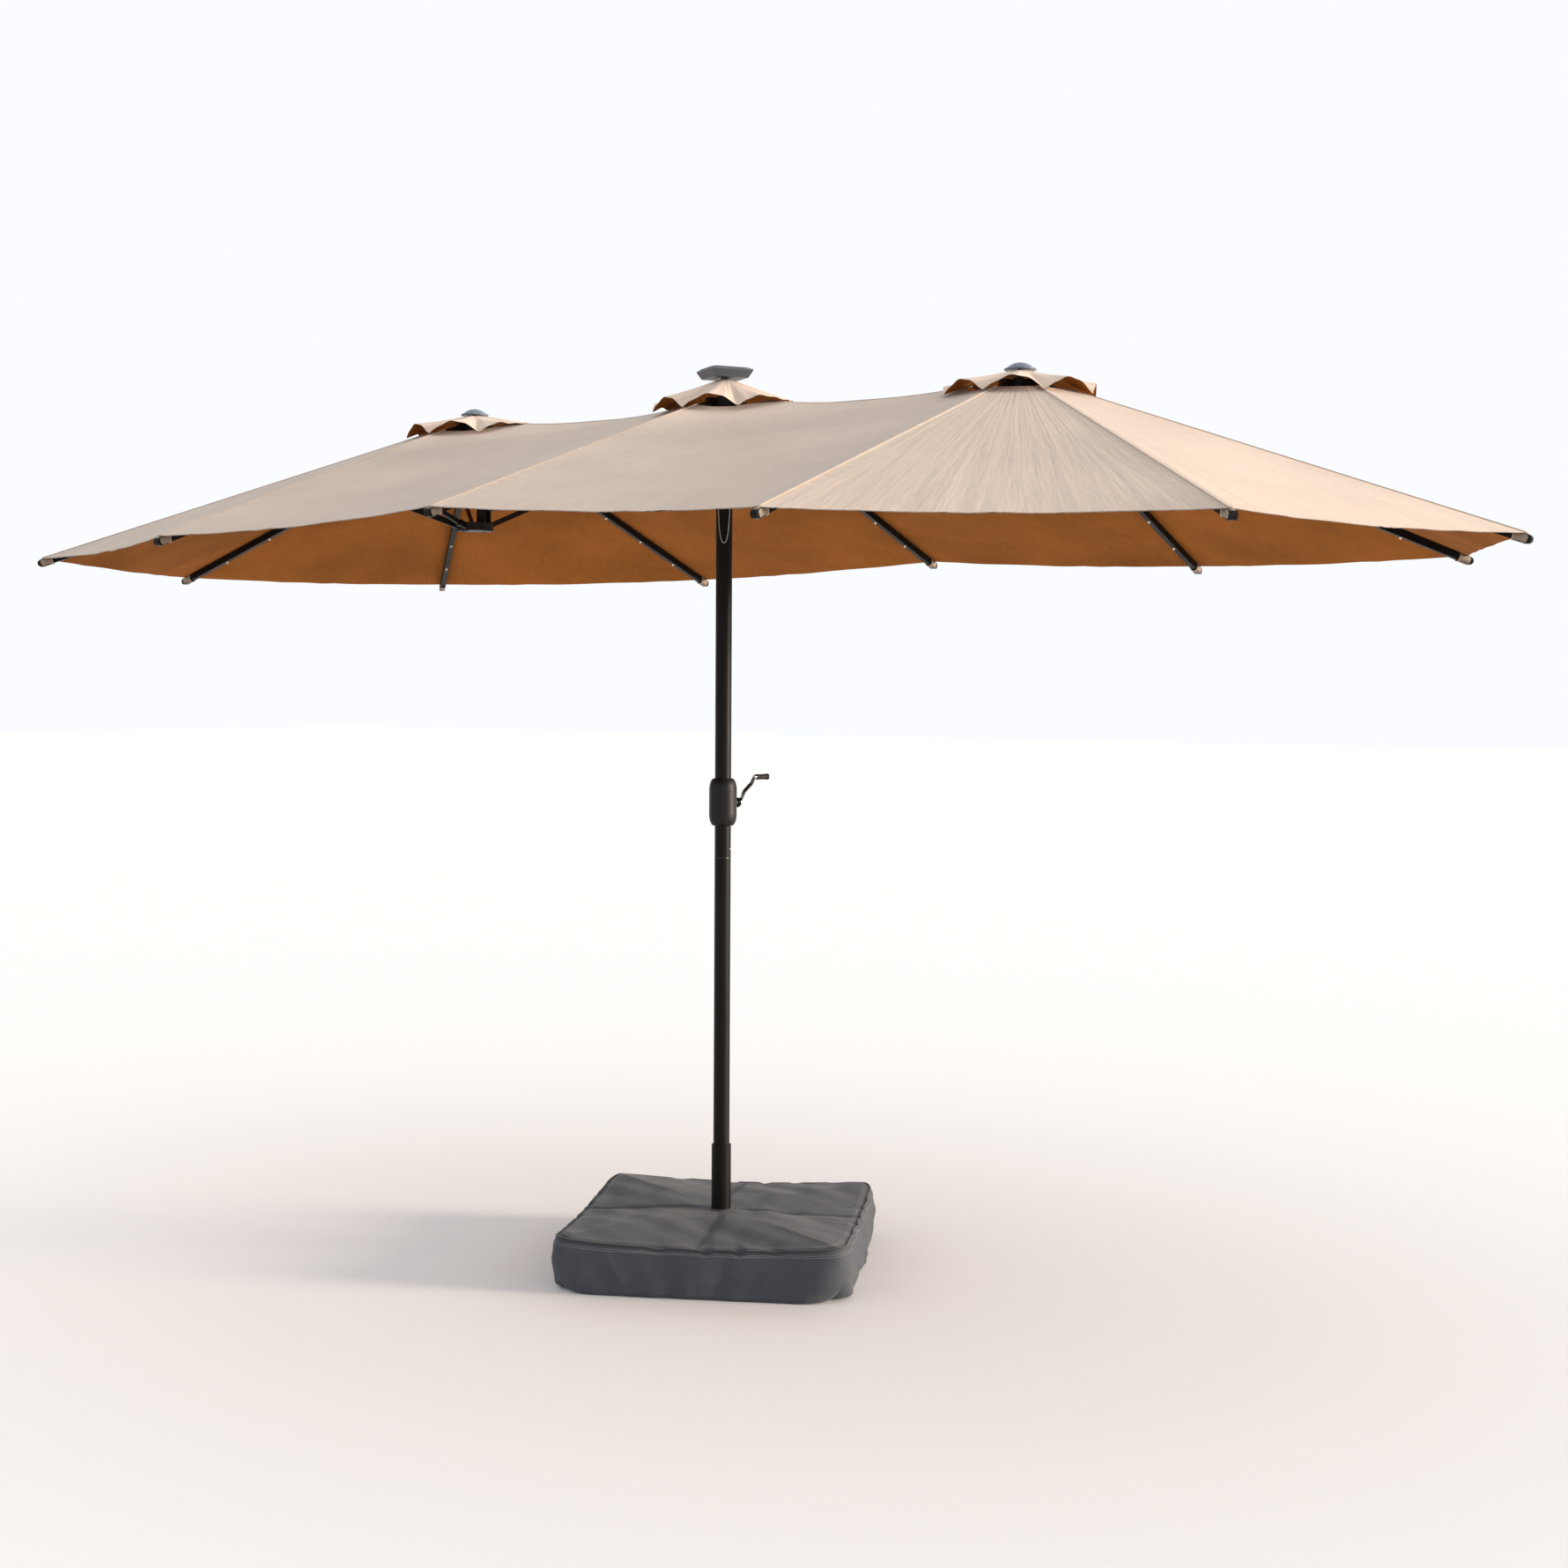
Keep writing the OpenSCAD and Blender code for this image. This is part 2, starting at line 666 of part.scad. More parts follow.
function middle_z(x, y) =
    let (w = x / hub_x, q = y / hem_y(x), edge = mix(centre_tip_r, tip_r_square, w))
    mix(centre_line(q * edge), side_line(q * edge), w) + mix(ridge_line(x), hem_line(x), q)
    - mix(mix(centre_line(0), side_line(0), w), mix(centre_line(edge), side_line(edge), w), q);

module canopy_middle() {
    color("#cdbdb1") for (sx = [0, 1]) for (sy = [0, 1]) mirror([sx, 0, 0]) mirror([0, sy, 0])
        sheet([
            for (i = [0:gore_rows]) [
                for (j = [middle_cols:-1:0])
                    let (x = mix(seam_half, hub_x - seam_half, j / middle_cols),
                         y = mix(max(hole_edge(x), seam_half), hem_y(x), i / gore_rows))
                    [x, y, middle_z(x, y)]
            ]
        ]);
}

// A vent: corners down over the ribs, arches between them, and higher over the ridge arms
module vent(apex_z, rim_z, ridge_rise, ridge_turns) {
    inner = 24;
    rows = 7;
    cols = 96;
    color("#d6c4b6") sheet([
        for (i = [0:rows]) [
            for (j = [0:cols - 1])
                let (a = 360 * j / cols, t = i / rows, arch = abs(sin(4 * a)),
                     near = max([for (d = ridge_turns) pow(max(0, cos(a - d)), 8)]),
                     rim = rim_z + vent_arch * arch + ridge_rise * near * (1 - arch),
                     r = mix(inner, vent_r * (1 - 0.05 * arch), t))
                [r * cos(a), r * sin(a), mix(apex_z, rim, pow(t, 1.1))]
        ]
    ], wrapped = true);
}

module vent_side() {
    translate([hub_x, 0, 0]) vent(2563, 2489, 42, [180]);
}

module vent_centre() {
    vent(2606, 2507, 30, [0, 180]);
}

// ---- tops ----

module dome() {
    base_z = 2566;
    cap_h = 20;
    ball_r = (pow(dome_w / 2, 2) + pow(cap_h, 2)) / (2 * cap_h);
    color("#5b6675") translate([hub_x, 0, 0]) {
        intersection() {
            translate([0, 0, base_z + cap_h - ball_r]) sphere(r = ball_r);
            translate([0, 0, base_z]) cylinder(r = dome_w, h = cap_h + 5);
        }
        translate([0, 0, side_z + hub_half]) cylinder(r = 6, h = base_z - side_z - hub_half + tiny);
    }
}

module solar_panel() {
    low = 2612;
    tray_h = 25;
    foot = panel_w - 22;
    color("#39424c") {
        rotate([0, 0, -32]) hull() {
            translate([-foot / 2, -foot / 2, low]) cube([foot, foot, 2]);
            translate([-panel_w / 2, -panel_w / 2, low + tray_h - 5]) cube([panel_w, panel_w, 5]);
        }
        translate([0, 0, centre_z + 14]) cylinder(r = 12, h = low - centre_z - 14 + 1);
    }
}

// ---- rope and chain ----

module crank_rope() {
    side = drum_r + rope_r + 0.2;
    from = [side * sin(crank_turn), -side * cos(crank_turn), crank_z];
    inner = pulley_at - rope_bend;
    to = [inner * cos(rope_turn), inner * sin(rope_turn), pulley_z];
    run = to - from;
    outer = pulley_at + rope_bend;
    color("#c9c2b2") {
        translate(from) rotate([0, 0, atan2(run[1], run[0])])
            rotate([0, acos(run[2] / norm(run)), 0]) cylinder(r = rope_r, h = norm(run) - 0.2, $fn = 24);
        rotate([0, 0, rope_turn]) translate([pulley_at, 0, pulley_z]) rotate([90, 0, 0])
            rotate_extrude(angle = 180) translate([rope_bend, 0]) circle(r = rope_r, $fn = 24);
        rotate([0, 0, rope_turn]) translate([outer, 0, runner_high + gap])
            cylinder(r = rope_r, h = pulley_z - runner_high - gap - 0.1, $fn = 24);
    }
}

// A tube along a route of points, with rings of even size
module swept(route, radius, sides) {
    n = len(route);
    function along(i) = let (d = route[min(n - 1, i + 1)] - route[max(0, i - 1)]) d / norm(d);
    out = [0.55, -0.84, 0];
    points = [for (i = [0:n - 1]) let (d = along(i), s = cross(d, out), b = s / norm(s), c = cross(b, d))
        for (j = [0:sides - 1]) route[i] + radius * (cos(360 * j / sides) * b + sin(360 * j / sides) * c)];
    faces = concat(
        [for (i = [0:n - 2]) for (j = [0:sides - 1])
            let (a = i * sides + j, b = i * sides + (j + 1) % sides)
            each [[a, b, b + sides], [a, b + sides, a + sides]]],
        [[for (j = [sides - 1:-1:0]) j], [for (j = [0:sides - 1]) (n - 1) * sides + j]]
    );
    polyhedron(points, faces);
}

module pin_chain() {
    function point(s) =
        let (along = chain_c * ln(s / chain_c + sqrt(pow(s / chain_c, 2) + 1)),
             reach = chain_c * ln(chain_half / chain_c + sqrt(pow(chain_half / chain_c, 2) + 1)),
             up = sqrt(pow(s, 2) + pow(chain_c, 2)) - sqrt(pow(chain_half, 2) + pow(chain_c, 2)))
        [each mix(chain_from, chain_to, (1 + along / reach) / 2), runner_low - gap + up];
    route = [for (i = [-chain_steps:chain_steps]) point(chain_half * sign(i) * pow(abs(i) / chain_steps, 1.6))];
    color("#b4b5b3") swept(route, chain_r, 8);
}

// ---- drawing ----

// A sub-part of the right side, mirrored for the left
module on_side(s) {
    mirror([s > 0 ? 0 : 1, 0, 0]) children();
}

cross_base();
base_bolts();
socket_tube();
sand_bags();
base_cover();
lower_pole();
pole_coupler();
upper_pole();
snap_button();
crank_housing();
crank_shaft();
crank_grip();
top_hub();
pulley();
crank_rope();
solar_panel();
vent_centre();
canopy_middle();
runner();
pin_chain();
for (s = SIDES) {
    on_side(s[1]) ridge_arm();
    on_side(s[1]) ridge_brace();
    on_side(s[1]) lower_arm();
    on_side(s[1]) side_hub();
    on_side(s[1]) lower_hub();
    on_side(s[1]) dome();
    on_side(s[1]) vent_side();
    on_side(s[1]) canopy_side();
}
for (r = RIBS) {
    rib(r);
    strut(r);
}
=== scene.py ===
import math

import bpy
import numpy as np
from bpy.props import FloatProperty, FloatVectorProperty, IntProperty, PointerProperty
from mathutils import Matrix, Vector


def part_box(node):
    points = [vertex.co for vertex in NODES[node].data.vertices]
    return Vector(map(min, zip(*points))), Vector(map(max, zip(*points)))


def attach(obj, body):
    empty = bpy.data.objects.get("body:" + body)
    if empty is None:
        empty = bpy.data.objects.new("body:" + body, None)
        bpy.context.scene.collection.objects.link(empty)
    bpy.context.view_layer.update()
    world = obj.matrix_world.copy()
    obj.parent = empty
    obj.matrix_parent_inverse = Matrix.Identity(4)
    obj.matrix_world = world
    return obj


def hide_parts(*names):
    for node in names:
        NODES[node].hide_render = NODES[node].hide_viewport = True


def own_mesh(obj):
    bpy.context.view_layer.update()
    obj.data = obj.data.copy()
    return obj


bl_info = {
    "name": "Twin market umbrella",
    "version": (1, 0, 0),
    "blender": (4, 5, 0),
    "location": "3D Viewport > Sidebar > Umbrella",
    "description": "Cloth, trim, finishes and stage of a twin market umbrella over its packed frame",
    "category": "Object",
}

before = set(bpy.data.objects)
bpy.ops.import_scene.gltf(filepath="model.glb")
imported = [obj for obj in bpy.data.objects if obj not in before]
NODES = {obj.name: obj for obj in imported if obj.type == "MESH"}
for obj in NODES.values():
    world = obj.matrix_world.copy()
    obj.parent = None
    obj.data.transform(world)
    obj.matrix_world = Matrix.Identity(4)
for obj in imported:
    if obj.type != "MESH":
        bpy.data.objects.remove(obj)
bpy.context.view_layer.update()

# ---- sizes shared by the pieces, in metres ----

HUB_X = sum(p[0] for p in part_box("side_hub_right")) / 2
SIDE_Z = 2.525
CENTRE_Z = 2.540
RIDGE_Z = 2.500
PIVOT_R = 0.045
SIDE_SLOPE = math.radians(19.4)
CENTRE_SLOPE = math.radians(18.4)
CORNER = math.radians(43.6)
HOLE_R = 0.150
CONE_REACH = 0.420
RIB_HALF = 0.010
CENTRE_TIP = 1.274
# direction of each side rib from the outward long axis, and its tip radius
SPOTS = {
    "front": (-math.pi / 2, 1.279),
    "front_corner": (-CORNER, 1.318),
    "end": (0.0, 1.338),
    "back_corner": (CORNER, 1.318),
    "back": (math.pi / 2, 1.279),
}
SIDES = {"right": 1.0, "left": -1.0}
BASE_TURN = math.radians(25)
BASE_W = 0.860
BASE_H = 0.160
# the chain's two ends under the runner, half its length, and how sharply it turns at the bottom
CHAIN_FROM = np.array([-0.001, -0.0295, 2.2357])
CHAIN_TO = np.array([0.0365, -0.0245, 2.2357])
CHAIN_HALF = 0.109
CHAIN_C = 0.005


def linear(code):
    """A colour's sRGB hex code as linear red, green and blue."""
    parts = [int(code[i:i + 2], 16) / 255 for i in (1, 3, 5)]
    return tuple(p / 12.92 if p <= 0.04045 else ((p + 0.055) / 1.055) ** 2.4 for p in parts)


# ---- settings that a user would change ----

def colour(name, description, code):
    """A colour setting from its hex code."""
    return FloatVectorProperty(
        name=name, description=description, subtype="COLOR", size=3, min=0, max=1, default=linear(code)
    )


def length(name, description, default, low, high):
    """A setting for a length in metres."""
    return FloatProperty(
        name=name, description=description, default=default, min=low, max=high,
        subtype="DISTANCE", unit="LENGTH"
    )


class CanopySettings(bpy.types.PropertyGroup):
    cloth: length("Cloth", "Thickness of the canopy cloth", 0.0012, 0.0006, 0.003)
    lift: length("Lift", "Height of the cloth over a rib's axis", 0.016, 0.015, 0.02)
    hem_drop: length("Hem drop", "Drop of the hem between two ribs", 0.009, 0.0, 0.02)
    hem_scallop: FloatProperty(
        name="Hem scallop", description="Inward curve of the hem between two ribs, as a share of its radius",
        default=0.026, min=0, max=0.04, subtype="FACTOR"
    )
    flutter: length("Flutter", "Height of the soft waves near the hem", 0.0012, 0.0, 0.006)
    seam: length("Seam", "Width of the seam tape over a rib", 0.015, 0.008, 0.03)
    rows: IntProperty(
        name="Rows", description="Rows of quads from the top to the hem", default=64, min=16, max=120
    )
    outside: colour("Outside", "Outer face of the polyester", "#BEAC9D")
    # painted shade and painted glow: the real cloth is one colour, and its underside looks darker and warmer only
    # from shade and light through it
    inside: colour("Inside", "Inner face of the polyester, warmed by light through the cloth", "#925825")
    vent: colour("Vent", "Cloth of the vents", "#CDB8A6")


class CoverSettings(bpy.types.PropertyGroup):
    cloth: length("Cloth", "Thickness of the cover's cloth", 0.0016, 0.001, 0.003)
    fold: length("Folds", "Depth of the hanging folds in the sides", 0.011, 0.0, 0.02)
    crease: length("Creases", "Depth of the creases over the gaps between the bags", 0.0035, 0.0, 0.02)
    sag: length("Sag", "Drop of the top edge between two corners", 0.016, 0.0, 0.03)
    piping: length("Piping", "Radius of the piping round the top edge", 0.0042, 0.002, 0.006)
    colour: colour("Cover", "Charcoal oxford cloth of the base cover", "#3F4349")


class FinishSettings(bpy.types.PropertyGroup):
    bronze: colour("Powder coat", "Bronze-black powder coat of the pole and the ribs", "#0F0E0C")
    nylon: colour("Nylon", "Black moulded nylon of hubs, housing and grip", "#101011")
    chrome: colour("Chrome", "Plated steel of the crank arm", "#C9CBCD")
    dome: colour("Domes", "Blue-grey moulded caps over the side hubs", "#5B6675")
    panel: colour("Panel", "Dark glass of the solar lid", "#1D2A38")


class StageSettings(bpy.types.PropertyGroup):
    floor: colour("Floor", "Plain floor", "#ECEBEA")
    sky: colour("Surroundings", "Soft light from all round", "#F6F8FB")
    sky_strength: FloatProperty(
        name="Surroundings strength", description="Strength of the light from all round",
        default=1.04, min=0, max=3
    )
    key: FloatProperty(name="Key light", description="Strength of the low warm light from the back right",
                       default=6.0, min=0, max=20)
    key_turn: FloatProperty(name="Key direction", description="Direction of the key light from the long axis",
                            default=math.radians(24), min=-math.pi, max=math.pi, subtype="ANGLE")
    key_rise: FloatProperty(name="Key height", description="Height of the key light over the horizon",
                            default=math.radians(8), min=0, max=math.pi / 2, subtype="ANGLE")


# ---- mesh helpers ----

def unit(v):
    """Vectors made one long."""
    return v / np.maximum(np.linalg.norm(v, axis=-1, keepdims=True), 1e-12)


def mix(a, b, t):
    """The value a share t of the way from a to b."""
    return a + (b - a) * t


def tent(v):
    """One at the middle of 0 to 1 and zero at both ends, as a parabola."""
    return 4 * v * (1 - v)


def quads(rows, cols, wrap=False):
    """Corner numbers of a grid's quads, row after row; wrap joins the last column to the first."""
    i, j = np.meshgrid(np.arange(rows - 1), np.arange(cols if wrap else cols - 1), indexing="ij")
    k = (j + 1) % cols
    corners = [i * cols + j, i * cols + k, (i + 1) * cols + k, (i + 1) * cols + j]
    return np.stack(corners, axis=-1).reshape(-1, 4)


def rim_edges(rows, cols, wrap=False):
    """The free edges of a grid in the direction of its quads."""
    j = np.arange(cols if wrap else cols - 1)
    k = (j + 1) % cols
    last = (rows - 1) * cols
    edges = [np.stack([j, k], axis=1), np.stack([last + k, last + j], axis=1)]
    if not wrap:
        i = np.arange(rows - 1) * cols
        edges.append(np.stack([i + cols, i], axis=1))
        edges.append(np.stack([i + cols - 1, i + 2 * cols - 1], axis=1))
    return np.concatenate(edges)


def outward(points, faces):
    """The faces, all turned over if the closed shape's volume comes out negative."""
    total = 0.0
    for f in faces:
        a = points[f[:, 0]]
        for k in range(1, f.shape[1] - 1):
            total += float((a * np.cross(points[f[:, k]], points[f[:, k + 1]])).sum())
    return faces if total >= 0 else [f[:, ::-1] for f in faces]


def piece(name, points, faces, materials, uv=None, normals=None, slots=None):
    """A smooth mesh object from arrays: points, lists of faces, and a UV pair and a normal for each point."""
    mesh = bpy.data.meshes.new(name)
    mesh.from_pydata(points.tolist(), [], [row for f in faces for row in f.tolist()])
    mesh.polygons.foreach_set("use_smooth", np.ones(len(mesh.polygons), bool))
    if uv is not None:
        corner = np.zeros(len(mesh.loops), np.int32)
        mesh.loops.foreach_get("vertex_index", corner)
        mesh.uv_layers.new(name="Cloth").data.foreach_set("uv", uv[corner].astype(np.float32).ravel())
    for m in materials:
        mesh.materials.append(m)
    if slots is not None:
        mesh.polygons.foreach_set("material_index", slots.astype(np.int32))
    mesh.update()
    if normals is not None:
        mesh.normals_split_custom_set_from_vertices(unit(normals).tolist())
    obj = bpy.data.objects.new(name, mesh)
    bpy.context.scene.collection.objects.link(obj)
    return obj


def shell(name, grid, normals, thick, materials, uv, wrap=False):
    """Closed cloth: the grid, the same grid a thickness further in, and a rim between them.
    The outer face and the rim have the first material, and the inner face has the last."""
    rows, cols = grid.shape[:2]
    n = rows * cols
    top = quads(rows, cols, wrap)
    edge = rim_edges(rows, cols, wrap)
    rim = np.stack([edge[:, 1], edge[:, 0], edge[:, 0] + n, edge[:, 1] + n], axis=1)
    flat, up = grid.reshape(-1, 3), normals.reshape(-1, 3)
    depth = np.broadcast_to(np.asarray(thick, float), grid.shape[:2]).reshape(-1, 1)
    points = np.concatenate([flat, flat - up * depth])
    faces = [top, top[:, ::-1] + n, rim]
    if float((np.cross(points[top[:, 1]] - points[top[:, 0]], points[top[:, 3]] - points[top[:, 0]])
              * up[top[:, 0]]).sum()) < 0:
        faces = [f[:, ::-1] for f in faces]
    slots = np.concatenate([np.zeros(len(top)), np.full(len(top), len(materials) - 1), np.zeros(len(rim))])
    uv2 = np.concatenate([uv.reshape(-1, 2)] * 2)
    return piece(name, points, faces, materials, uv2, np.concatenate([up, -up]), slots)


def slopes(shape, a, b, step=1e-3):
    """Normals of shape(a, b): the cross product of its two directions of travel, turned upwards."""
    a0, a1 = np.clip(a - step, 0, 1), np.clip(a + step, 0, 1)
    b0, b1 = np.clip(b - step, 0, 1), np.clip(b + step, 0, 1)
    n = unit(np.cross(shape(a1, b) - shape(a0, b), shape(a, b1) - shape(a, b0)))
    return n * np.where(n[..., 2:] < 0, -1.0, 1.0)


def lathe(profile, sides=40):
    """A profile of radius and height carried round the upright axis, from end to end, with closed ends."""
    r, z = np.array(profile, float).T
    a = np.linspace(0, 2 * np.pi, sides, endpoint=False)
    points = np.stack([np.outer(r, np.cos(a)), np.outer(r, np.sin(a)), np.outer(z, np.ones(sides))], axis=-1)
    faces = [quads(len(r), sides, wrap=True)]
    last = (len(r) - 1) * sides
    faces.append(np.arange(sides - 1, -1, -1)[None, :])
    faces.append((last + np.arange(sides))[None, :])
    points = points.reshape(-1, 3)
    return points, outward(points, faces)


def copies(points, faces, places, turns):
    """The same small shape at many places, each with its own three axes as the columns of a matrix."""
    count = len(places)
    moved = np.einsum("kij,nj->kni", turns, points) + places[:, None, :]
    step = (np.arange(count) * len(points))[:, None, None]
    return moved.reshape(-1, 3), [(f[None] + step).reshape(-1, f.shape[1]) for f in faces]


def hanging(spacing):
    """Even points along a chain that hangs from two ends: a catenary c (cosh(x / c) - 1), by length from its
    lowest point."""
    s = np.linspace(-CHAIN_HALF, CHAIN_HALF, round(2 * CHAIN_HALF / spacing) + 1)[:, None]
    reach = CHAIN_C * math.asinh(CHAIN_HALF / CHAIN_C)
    share = (1 + CHAIN_C * np.arcsinh(s / CHAIN_C) / reach) / 2
    up = np.hypot(s, CHAIN_C) - math.hypot(CHAIN_HALF, CHAIN_C)
    return mix(CHAIN_FROM, CHAIN_TO, share) + up * np.array([0.0, 0.0, 1.0])


def frames_along(path, up, closed=False):
    """For each point of a path: the way it runs, the side and the top, from a rough direction of up."""
    if closed:
        run = unit(np.roll(path, -1, axis=0) - np.roll(path, 1, axis=0))
    else:
        run = unit(np.gradient(path, axis=0))
    side = unit(np.cross(up, run))
    return run, side, np.cross(run, side)


def tube(path, radius, sides, up, closed=False):
    """A circle carried along a path; an open path gets flat ends."""
    _, side, top = frames_along(path, up, closed)
    a = np.linspace(0, 2 * np.pi, sides, endpoint=False)
    ring = np.cos(a)[None, :, None] * side[:, None, :] + np.sin(a)[None, :, None] * top[:, None, :]
    radius = np.broadcast_to(np.asarray(radius, float), (len(path),))
    points = (path[:, None, :] + ring * radius[:, None, None]).reshape(-1, 3)
    n = len(path)
    faces = [quads(n, sides, wrap=True)]
    if closed:
        j = np.arange(sides)
        k = (j + 1) % sides
        last = (n - 1) * sides
        faces.append(np.stack([last + j, last + k, k, j], axis=1))
    else:
        faces.append(np.arange(sides)[None, ::-1])
        faces.append(((n - 1) * sides + np.arange(sides))[None, :])
    return points, outward(points, faces)


def stitches(path, up, pitch, size, radius=0.0005):
    """A row of short threads along a path: each is a slim six-sided bar with bevelled ends."""
    steps = np.linalg.norm(np.diff(path, axis=0), axis=1)
    along = np.concatenate([[0], np.cumsum(steps)])
    at = np.arange(pitch / 2, along[-1], pitch)
    places = np.stack([np.interp(at, along, path[:, k]) for k in range(3)], axis=1)
    ups = np.stack([np.interp(at, along, np.broadcast_to(up, path.shape)[:, k]) for k in range(3)], axis=1)
    run, side, top = frames_along(places, unit(ups))
    a = np.linspace(0, 2 * np.pi, 6, endpoint=False)
    r = np.array([0.4, 1.0, 1.0, 0.4])[:, None] * radius
    x = np.array([-0.5, -0.35, 0.35, 0.5])[:, None] * size + 0 * a
    bar = np.stack([x, r * np.cos(a), r * np.sin(a)], axis=-1).reshape(-1, 3)
    faces = outward(bar, [quads(4, 6, wrap=True), np.arange(6)[None, ::-1], (18 + np.arange(6))[None, :]])
    return copies(bar, faces, places, np.stack([run, side, top], axis=-1))


def merged(parts):
    """Several shapes as one: (points, faces) of all of them."""
    points, faces, start = [], [], 0
    for p, fs in parts:
        points.append(p)
        faces += [f + start for f in fs]
        start += len(p)
    return np.concatenate(points), faces


def waves(x, y, seed, count, low, high):
    """Soft bumps from -1 to 1: the mean of plane waves with seeded directions and lengths in metres."""
    rng = np.random.default_rng(seed)
    turn = rng.uniform(0, 2 * np.pi, count)
    rate = 2 * np.pi / rng.uniform(low, high, count)
    shift = rng.uniform(0, 2 * np.pi, count)
    total = np.zeros(np.broadcast(x, y).shape)
    for t, r, s in zip(turn, rate, shift):
        total += np.sin(r * (np.cos(t) * x + np.sin(t) * y) + s)
    return total / math.sqrt(count)


# ---- materials ----

def feed(tree, node, inputs):
    """Gives each input its value, or links the socket that feeds it."""
    for key, value in inputs.items():
        if isinstance(value, bpy.types.NodeSocket):
            tree.links.new(value, node.inputs[key])
        else:
            node.inputs[key].default_value = value


def add(tree, kind, inputs=None, out=0, **settings):
    """Adds a shader node with its settings and inputs, and gives back one of its outputs, if it has any."""
    node = tree.nodes.new("ShaderNode" + kind)
    for key, value in settings.items():
        setattr(node, key, value)
    feed(tree, node, inputs or {})
    return node.outputs[out] if node.outputs else node


def new_material(name, **sockets):
    """A material with one Principled surface: itself, its tree, the surface and its coordinates."""
    material = bpy.data.materials.new(name)
    material.use_nodes = True
    tree = material.node_tree
    tree.nodes.clear()
    shader = add(tree, "BsdfPrincipled", {k.replace("_", " "): v for k, v in sockets.items()})
    add(tree, "OutputMaterial", {"Surface": shader})
    return material, tree, shader.node, add(tree, "TexCoord").node.outputs


def rgba(rgb, share=1.0):
    """A colour made lighter or darker by a share, with full alpha."""
    return tuple(min(1.0, c * share) for c in rgb) + (1.0,)


def powder_coat(name, rgb):
    """Polyester powder baked on steel tube: satin, with a fine orange peel and slightly duller patches, which
    keep the dark poles from looking like plain black."""
    material, tree, surface, place = new_material(name, Roughness=0.42, Specular_IOR_Level=0.12)
    at = place["Object"]
    # orange peel is about 1 mm across; it is drawn at 2.5 mm so that it shows
    peel = add(tree, "TexNoise", {"Vector": at, "Scale": 400, "Detail": 2.0, "Roughness": 0.55})
    patches = add(tree, "TexNoise", {"Vector": at, "Scale": 9, "Detail": 5.0, "Roughness": 0.55})
    tint = add(tree, "Mix", {0: patches, 6: rgba(rgb, 0.8), 7: rgba(rgb, 1.35)}, 2, data_type="RGBA")
    dull = add(tree, "MapRange", {"Value": patches, "From Min": 0.3, "From Max": 0.7,
                                  "To Min": 0.36, "To Max": 0.5})
    relief = add(tree, "Bump", {"Height": peel, "Strength": 0.25, "Distance": 0.0004})
    feed(tree, surface, {"Base Color": tint, "Roughness": dull, "Normal": relief})
    return material


def moulded(name, rgb, rough, grain=900, strength=0.3, shine=0.5):
    """Injection-moulded plastic from a spark-eroded tool: a fine even grain and faint flow marks, which give
    broad, soft highlights."""
    material, tree, surface, place = new_material(name, IOR=1.49, Specular_IOR_Level=shine)
    at = place["Object"]
    # the grain of the tool is about 0.3 mm; drawn at about 1 mm
    grains = add(tree, "TexNoise", {"Vector": at, "Scale": grain, "Detail": 3.0, "Roughness": 0.55})
    flow = add(tree, "TexNoise", {"Vector": at, "Scale": 14, "Detail": 4.0, "Roughness": 0.55})
    tint = add(tree, "Mix", {0: flow, 6: rgba(rgb, 0.82), 7: rgba(rgb, 1.3)}, 2, data_type="RGBA")
    dull = add(tree, "MapRange", {"Value": flow, "From Min": 0.3, "From Max": 0.7,
                                  "To Min": rough - 0.05, "To Max": rough + 0.07})
    relief = add(tree, "Bump", {"Height": grains, "Strength": strength, "Distance": 0.00025})
    feed(tree, surface, {"Base Color": tint, "Roughness": dull, "Normal": relief})
    return material


def plated(name, rgb, rough, cloud=0.08):
    """Plated steel, polished before the bath: bright metal whose reflections soft clouds and fine marks break."""
    material, tree, surface, place = new_material(name, Metallic=1.0)
    at = place["Object"]
    clouds = add(tree, "TexNoise", {"Vector": at, "Scale": 45, "Detail": 4.0, "Roughness": 0.55})
    marks = add(tree, "TexNoise", {"Vector": at, "Scale": 1500, "Detail": 2.0, "Roughness": 0.55})
    tint = add(tree, "Mix", {0: clouds, 6: rgba(rgb, 0.86), 7: rgba(rgb, 1.08)}, 2, data_type="RGBA")
    dull = add(tree, "MapRange", {"Value": clouds, "From Min": 0.3, "From Max": 0.7,
                                  "To Min": rough, "To Max": rough + cloud})
    relief = add(tree, "Bump", {"Height": marks, "Strength": 0.12, "Distance": 0.0001})
    feed(tree, surface, {"Base Color": tint, "Roughness": dull, "Normal": relief})
    return material


def woven_threads(tree, vector, per_metre):
    """Plain weave: two crossed sine waves whose product raises every other crossing."""
    split = add(tree, "SeparateXYZ", {"Vector": vector}).node.outputs
    sines = []
    for axis in ("X", "Y"):
        angle = add(tree, "Math", {0: split[axis], 1: 2 * math.pi * per_metre}, operation="MULTIPLY")
        sines.append(add(tree, "Math", {0: angle}, operation="SINE"))
    return add(tree, "Math", {0: sines[0], 1: sines[1]}, operation="MULTIPLY")


